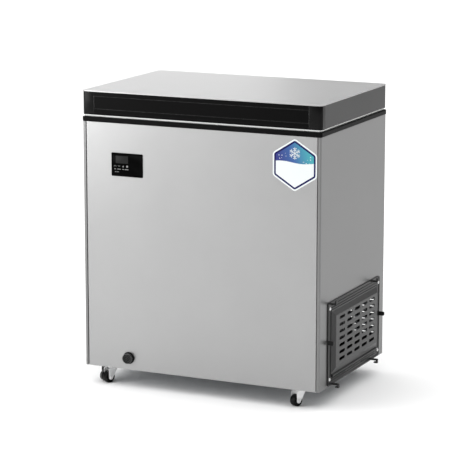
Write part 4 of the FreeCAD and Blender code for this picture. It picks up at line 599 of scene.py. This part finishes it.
symbols = bmesh.new()
row_z = window_low.z - 8 * MM
first_x = window_low.x - 2 * MM
for index, lean in ((0, 1), (1, -1)):
    x = first_x + index * 13 * MM
    for side in (-1, 1):
        print_bar(symbols, (x + side * 1.9 * MM, row_z), 5.2 * MM, 0.8 * MM,
                  -side * lean * math.radians(40), fascia_face)
x = first_x + 26 * MM
print_shape(symbols,
            [(x - 2.6 * MM, row_z - 2.4 * MM), (x + 2.6 * MM, row_z - 2.4 * MM), (x, row_z + 2.6 * MM)],
            fascia_face)
x = first_x + 39 * MM
print_shape(symbols, [(x + 3.0 * MM * math.cos(turn), row_z + 3.0 * MM * math.sin(turn))
                      for turn in (math.radians(18 * step) for step in range(20))], fascia_face)
for row, bars in ((17, ((0, 5), (13, 11), (26, 6), (37, 12))), (25, ((2, 4), (9, 4)))):
    for offset, length in bars:
        print_bar(symbols, (first_x + offset * MM, window_low.z - row * MM), length * MM, 1.7 * MM, 0,
                  fascia_face)
piece("fascia_symbols", symbols, "label_film", body="cabinet", material=panel_ink)

# %% [markdown]
# ### The round-cornered badge
# A six-sided sticker on the top right of the front: a white film, a navy ring, a blue picture
# that turns to teal, a white snowfield in front of it and one plain snowflake. Each colour is
# its own thin print, laid on the one below, as a screen printer would do it.

# %% Badge outline
low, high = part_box("badge_label")
badge_middle = (low + high) / 2
SHOULDER = 42 * MM
FILM = 0.10 * MM


def badge_layer(inset, level, radius=11 * MM):
    """A mesh holding the badge's six-sided face, drawn in and raised by whole films."""
    form = bmesh.new()
    outline = ((low.x, low.z + SHOULDER), (badge_middle.x, low.z), (high.x, low.z + SHOULDER),
               (high.x, high.z - SHOULDER), (badge_middle.x, high.z), (low.x, high.z - SHOULDER))
    corners = [form.verts.new((x, high.y - 0.4 * MM - level * FILM, z)) for x, z in outline]
    face = form.faces.new(corners)
    bmesh.ops.bevel(form, geom=corners, offset=radius * 0.58, segments=6, profile=0.5, affect="VERTICES",
                    material=-1)
    face = form.faces[:][0]
    if inset > 0:
        ring = bmesh.ops.inset_region(form, faces=[face], thickness=inset, use_boundary=True,
                                      use_even_offset=True)["faces"]
        bmesh.ops.delete(form, geom=ring, context="FACES")
    return form, form.faces[:][0]


# %% Badge films
ring_navy = finish("badge_navy", (0.009, 0.008, 0.080), (0.011, 0.010, 0.095), (0.26, 0.32), grain=400,
                   depth=0.002,
                   specular=0.1)
badge_white = finish("badge_white", (0.76, 0.80, 0.80), (0.80, 0.84, 0.84), (0.28, 0.34), grain=400,
                     depth=0.002,
                     specular=0.3)
badge_picture = bpy.data.materials.new("badge_picture")
badge_picture.use_nodes = True
picture_tree = badge_picture.node_tree
place = picture_tree.nodes.new("ShaderNodeTexCoord")
split = picture_tree.nodes.new("ShaderNodeSeparateXYZ")
picture_tree.links.new(place.outputs["Object"], split.inputs["Vector"])
across = picture_tree.nodes.new("ShaderNodeMapRange")
across.inputs["From Min"].default_value = low.x
across.inputs["From Max"].default_value = high.x
lean = math_node(picture_tree, "MULTIPLY",
                 math_node(picture_tree, "SUBTRACT", split.outputs["Z"], badge_middle.z), 0.3)
picture_tree.links.new(math_node(picture_tree, "ADD", split.outputs["X"], lean), across.inputs["Value"])
ramp = picture_tree.nodes.new("ShaderNodeValToRGB")
ramp.color_ramp.elements[0].color = (0.036, 0.036, 0.20, 1)
ramp.color_ramp.elements[1].color = (0.070, 0.37, 0.42, 1)
ramp.color_ramp.elements[0].position = 0.10
ramp.color_ramp.elements[1].position = 0.92
middle_stop = ramp.color_ramp.elements.new(0.52)
middle_stop.color = (0.052, 0.125, 0.33, 1)
picture_tree.links.new(across.outputs["Result"], ramp.inputs["Fac"])
picture_shader = picture_tree.nodes["Principled BSDF"]
picture_shader.inputs["Roughness"].default_value = 0.3
picture_shader.inputs["Specular IOR Level"].default_value = 0.15
picture_tree.links.new(ramp.outputs["Color"], picture_shader.inputs["Base Color"])

backing, face = badge_layer(0, 0)
push_in(backing, face, (0, 0.38 * MM, 0))
piece("badge_backing", backing, "label_film", "badge_label", material=badge_white)
for name, inset, level, ink in (("badge_ring", 4.3 * MM, 1, ring_navy),
                                ("badge_picture", 9.4 * MM, 2, badge_picture)):
    layer, face = badge_layer(inset, level)
    push_in(layer, face, (0, FILM, 0))
    piece(name, layer, "label_film", body="cabinet", material=ink)

# %% Snowfield and snowflake
snow, face = badge_layer(9.4 * MM, 3)
HORIZON = badge_middle.z + 8 * MM
bmesh.ops.bisect_plane(snow, geom=snow.verts[:] + snow.edges[:] + snow.faces[:], dist=1e-6,
                       plane_co=(0, 0, HORIZON), plane_no=(0, 0, 1), clear_outer=True)
skyline = edges_along(snow, 0, lambda middle: middle.z > HORIZON - 1e-5)
bmesh.ops.subdivide_edges(snow, edges=skyline, cuts=24)
for vert in snow.verts:
    if vert.co.z > HORIZON - 1e-5:
        share = (vert.co.x - low.x) / (high.x - low.x)
        vert.co.z += (2.6 * math.sin(share * 7.2) - 1.4 * share) * MM
push_in(snow, snow.faces[:][0], (0, FILM, 0))
piece("badge_snowfield", snow, "label_film", body="cabinet", material=badge_white)

flake = bmesh.new()
flake_y = high.y - 0.4 * MM - 3 * FILM
flake_middle = Vector((badge_middle.x, flake_y, HORIZON + 25 * MM))
for turn in range(6):
    angle = math.radians(90 + 60 * turn)
    arm = Vector((math.cos(angle), math.sin(angle)))
    centre = Vector((flake_middle.x, flake_middle.z))
    print_bar(flake, centre + arm * 8.5 * MM, 17 * MM, 1.9 * MM, angle, flake_y)
    for side in (-1, 1):
        for reach, length in ((6.5, 5.0), (11.0, 6.5)):
            twig = angle + side * math.radians(55)
            tip = Vector((math.cos(twig), math.sin(twig)))
            print_bar(flake, centre + arm * reach * MM + tip * length / 2 * MM, length * MM, 1.6 * MM, twig,
                      flake_y)
scatter = random.Random(4)
for speck in range(16):
    spot_x = badge_middle.x + (-1) ** speck * scatter.uniform(20, 50) * MM
    spot_z = HORIZON + scatter.uniform(8, 40) * MM - abs(spot_x - badge_middle.x) * 0.35
    size = scatter.uniform(0.6, 1.5) * MM
    print_shape(flake, [(spot_x + size * math.cos(math.radians(45 * corner)),
                         spot_z + size * math.sin(math.radians(45 * corner)))
                        for corner in range(8)], flake_y)
piece("badge_snowflake", flake, "label_film", body="cabinet", material=badge_white)

# %% [markdown]
# ### The drain cap
# A ribbed screw cap closes the defrost drain at the foot of the front. A ring of side faces is
# pushed in one by one for the grip, and the face has a sunk middle with a finger bar.

# %% Drain cap
low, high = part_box("drain_cap")
cap_middle = (low + high) / 2
RIBS = 30
RIB_DEPTH = 0.7 * MM
drain_lid = bmesh.new()
CAP_RADIUS = 14 * MM
bmesh.ops.create_cone(drain_lid, cap_ends=True, segments=RIBS * 2, radius1=CAP_RADIUS - RIB_DEPTH,
                      radius2=CAP_RADIUS - RIB_DEPTH,
                      depth=high.y - low.y)
bmesh.ops.rotate(drain_lid, cent=(0, 0, 0), matrix=Matrix.Rotation(math.radians(90), 3, "X"),
                 verts=drain_lid.verts)
bmesh.ops.translate(drain_lid, vec=cap_middle, verts=drain_lid.verts)
drain_lid.normal_update()
sides = [face for face in drain_lid.faces if abs(face.normal.y) < 0.1]
sides.sort(key=lambda face: math.atan2(face.normal.z, face.normal.x))
bmesh.ops.inset_individual(drain_lid, faces=sides[::2], thickness=0.25 * MM, depth=RIB_DEPTH)
front = face_towards(drain_lid, FRONT_WAY)
round_off(drain_lid, list(front.edges), 1.2 * MM, 3)
front = face_towards(drain_lid, FRONT_WAY)
bmesh.ops.inset_region(drain_lid, faces=[front], thickness=3.0 * MM)
bmesh.ops.inset_region(drain_lid, faces=[front], thickness=0.8 * MM, depth=-1.6 * MM)
bar_low = Vector((cap_middle.x - 7.6 * MM, low.y + 0.4 * MM, cap_middle.z - 2.2 * MM))
bar_high = Vector((cap_middle.x + 7.6 * MM, low.y + 3 * MM, cap_middle.z + 2.2 * MM))
grip = add_box(drain_lid, bar_low, bar_high)
grip_edges = [edge for edge in drain_lid.edges if edge.verts[0] in grip and edge.verts[1] in grip]
round_off(drain_lid, grip_edges, 0.9 * MM, 3)
bmesh.ops.rotate(drain_lid, cent=cap_middle, matrix=Matrix.Rotation(math.radians(-35), 3, "Y"),
                 verts=drain_lid.verts)
piece("drain_screw_cap", drain_lid, "drain_plastic", "drain_cap")

# %% [markdown]
# ### The casters
# Each wheel is one black moulding with a rounded tread, a sunk web and a hub. Its half profile
# is drawn once and spun round the axle. The casters stand turned, so wheel and axle heads are
# made straight and then turned by the same angle as the fork.

# %% Wheels and axle heads
CASTER_TURN = math.radians(-24.9)
TURN = Matrix.Rotation(CASTER_TURN, 3, "Z")
AXLE = TURN @ Vector((1, 0, 0))
WHEEL_PROFILE = ((3.2, -9.6), (6.4, -9.6), (7.0, -7.4), (12.2, -7.0), (12.8, -9.7), (14.6, -10.0),
                 (16.2, -8.6), (16.9, -5.6), (17.0, -0.5), (16.75, -0.3), (16.75, 0.3), (17.0, 0.5),
                 (16.9, 5.6), (16.2, 8.6),
                 (14.6, 10.0), (12.8, 9.7), (12.2, 7.0), (7.0, 7.4), (6.4, 9.6), (3.2, 9.6))


def spin_profile(profile, steps, centre, turned=TURN):
    """Spin a closed profile of (radius, place along the axle) pairs round the X axis."""
    form = bmesh.new()
    ring = [form.verts.new((along * MM, 0, out * MM)) for out, along in profile]
    edges = [form.edges.new((ring[i - 1], ring[i])) for i in range(len(ring))]
    bmesh.ops.spin(form, geom=ring + edges, cent=(0, 0, 0), axis=(1, 0, 0), dvec=(0, 0, 0), angle=math.tau,
                   steps=steps, use_merge=True)
    bmesh.ops.rotate(form, cent=(0, 0, 0), matrix=turned, verts=form.verts)
    bmesh.ops.translate(form, vec=centre, verts=form.verts)
    return form


HEAD_PROFILE = ((0.05, 0), (3.7, 0), (3.7, 0.7), (3.2, 1.4), (1.8, 1.7), (0.05, 1.8))
FORK_OUTER = 12.6 * MM
axle_steel = finish("axle_steel", grey(0.07), grey(0.10), (0.30, 0.40), metal=0.9, grain=500, depth=0.006)
for corner_name in ("front_left", "front_right", "rear_left", "rear_right"):
    low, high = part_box("caster_wheel_" + corner_name)
    centre = (low + high) / 2
    wheel = spin_profile(WHEEL_PROFILE, 56, centre)
    piece("wheel_" + corner_name, wheel, "wheel_black", "caster_wheel_" + corner_name)
    heads = spin_profile(HEAD_PROFILE, 20, centre + AXLE * FORK_OUTER)
    other = spin_profile([(out, -along) for out, along in HEAD_PROFILE], 20, centre - AXLE * FORK_OUTER)
    spare = bpy.data.meshes.new("axle_head")
    other.to_mesh(spare)
    other.free()
    heads.from_mesh(spare)
    bpy.data.meshes.remove(spare)
    piece("axle_heads_" + corner_name, heads, "zinc_fastener", body="fork_" + corner_name,
          material=axle_steel)

# %% [markdown]
# ### The machine-room grille
# The grille is a moulded tray: a flat slotted face, a drafted skirt and a thin flange that the
# frame holds. Its face is filled between the rim and the round-ended slots in one go, the
# skirt and flange are drawn out of the rim, and the whole skin is then given its wall.

# %% Grille
SLOT_ROWS, SLOT_COLUMNS = 7, 5
SLOT_PITCH = (58 * MM, 20.3 * MM)
SLOT_HALF = (21 * MM, 4.6 * MM)
SLOT_SHIFT = (2 * MM, 2.5 * MM)
SLOT_TURN_STEPS = 7
DRAFT, FLANGE = 14 * MM, 6 * MM
GRILLE_WALL = 2 * MM
low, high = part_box("vent_grille")
middle = (low + high) / 2
grille = bmesh.new()


def ring_of(form, places):
    """A closed loop of edges through the places."""
    verts = [form.verts.new(place) for place in places]
    return [form.edges.new((verts[i - 1], verts[i])) for i in range(len(verts))]


def around(half_y, half_z, x):
    """The four corners of a rectangle about the grille's middle."""
    return [(x, middle.y + across * half_y, middle.z + up * half_z) for across, up in
            ((-1, -1), (1, -1), (1, 1), (-1, 1))]


half_flange = ((high.y - low.y) / 2, (high.z - low.z) / 2)
half_foot = tuple(half - FLANGE / 2 for half in half_flange)
half_face = tuple(half - FLANGE / 2 - DRAFT for half in half_flange)
loops = ring_of(grille, around(*half_face, high.x))
for column in range(SLOT_COLUMNS):
    for row in range(SLOT_ROWS):
        at_y = middle.y + SLOT_SHIFT[0] + (column - (SLOT_COLUMNS - 1) / 2) * SLOT_PITCH[0]
        at_z = middle.z + SLOT_SHIFT[1] + (row - (SLOT_ROWS - 1) / 2) * SLOT_PITCH[1]
        places = []
        for side in (1, -1):
            for step in range(SLOT_TURN_STEPS):
                turn = math.pi * (step / (SLOT_TURN_STEPS - 1) - 0.5)
                places.append((high.x,
                               at_y + side * (SLOT_HALF[0] - SLOT_HALF[1] + SLOT_HALF[1] * math.cos(turn)),
                               at_z + side * SLOT_HALF[1] * math.sin(turn)))
        loops += ring_of(grille, places)
bmesh.ops.triangle_fill(grille, use_beauty=True, edges=loops, normal=(1, 0, 0))
rim = loops[:4]
for half_y, half_z, x in ((*half_foot, low.x + GRILLE_WALL), (*half_flange, low.x + GRILLE_WALL)):
    drawn = bmesh.ops.extrude_edge_only(grille, edges=rim)["geom"]
    for vert in (item for item in drawn if isinstance(item, bmesh.types.BMVert)):
        away = vert.co - middle
        vert.co = (x, middle.y + math.copysign(half_y, away.y), middle.z + math.copysign(half_z, away.z))
    rim = [item for item in drawn if isinstance(item, bmesh.types.BMEdge)]
bmesh.ops.recalc_face_normals(grille, faces=grille.faces)
if max(grille.faces, key=lambda face: face.calc_area()).normal.x < 0:
    bmesh.ops.reverse_faces(grille, faces=grille.faces)
bmesh.ops.solidify(grille, geom=grille.faces, thickness=GRILLE_WALL)
grille_plastic = finish("grille_plastic", grey(0.030), grey(0.040), (0.34, 0.44), grain=1000, depth=0.03,
                        edge_rub_and_highlight=0.12,
                        specular=0.3)
piece("slotted_grille", grille, "vent_plastic", "vent_grille", material=grille_plastic, sharp=18)

# %% [markdown]
# ### Ribs of the vent frame
# The flat frame round the grille is stiffened by moulded ribs along its top and bottom bands.

# %% Frame ribs
RIB_HALF, RIB_PROUD = 1.1 * MM, 1.6 * MM
ribs = bmesh.new()
plate_face = low.x
for base, steps in ((high.z, (7, 15, 23)), (low.z, (-7, -14, -21))):
    for step in steps:
        rib_z = base + step * MM
        add_box(ribs, (plate_face - 0.3 * MM, low.y + 6 * MM, rib_z - RIB_HALF),
                (plate_face + RIB_PROUD, high.y - 6 * MM, rib_z + RIB_HALF))
round_off(ribs, list(ribs.edges), 0.4 * MM, 2)
piece("vent_frame_ribs", ribs, "vent_plastic", body="cabinet")

# %% [markdown]
# ### Louvres over the rear slots
# Behind the compressor each slot is covered by a pressed hood that is open at the foot, so
# air gets out and dust and fingers don't get in. One profile is drawn and pulled along the slot.

# %% Rear louvres
LOUVRE_ROWS, LOUVRE_PITCH, LOUVRE_FOOT = 9, 20 * MM, 60 * MM
LOUVRE_PROFILE = ((0, 9), (5, 5.4), (5, 1.0), (4.2, 1.0), (4.2, 5.0), (0, 8.2))
LOUVRE_START, LOUVRE_MARGIN = 172.5 * MM, 20 * MM
low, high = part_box("rear_panel")
louvre_end = high.x - LOUVRE_MARGIN
louvres = bmesh.new()
for row in range(LOUVRE_ROWS):
    foot = low.z + LOUVRE_FOOT + row * LOUVRE_PITCH
    for start, end, profile in ((LOUVRE_START, louvre_end, LOUVRE_PROFILE),
                                (LOUVRE_START, LOUVRE_START + 0.8 * MM, LOUVRE_PROFILE[:3] + ((0, 1.0),)),
                                (louvre_end - 0.8 * MM, louvre_end, LOUVRE_PROFILE[:3] + ((0, 1.0),))):
        corners = [louvres.verts.new((start, high.y + out * MM, foot + up * MM)) for out, up in profile]
        end_face = louvres.faces.new(corners)
        push_in(louvres, end_face, (end - start, 0, 0))
piece("rear_louvres", louvres, "galvanised_sheet", body="cabinet")
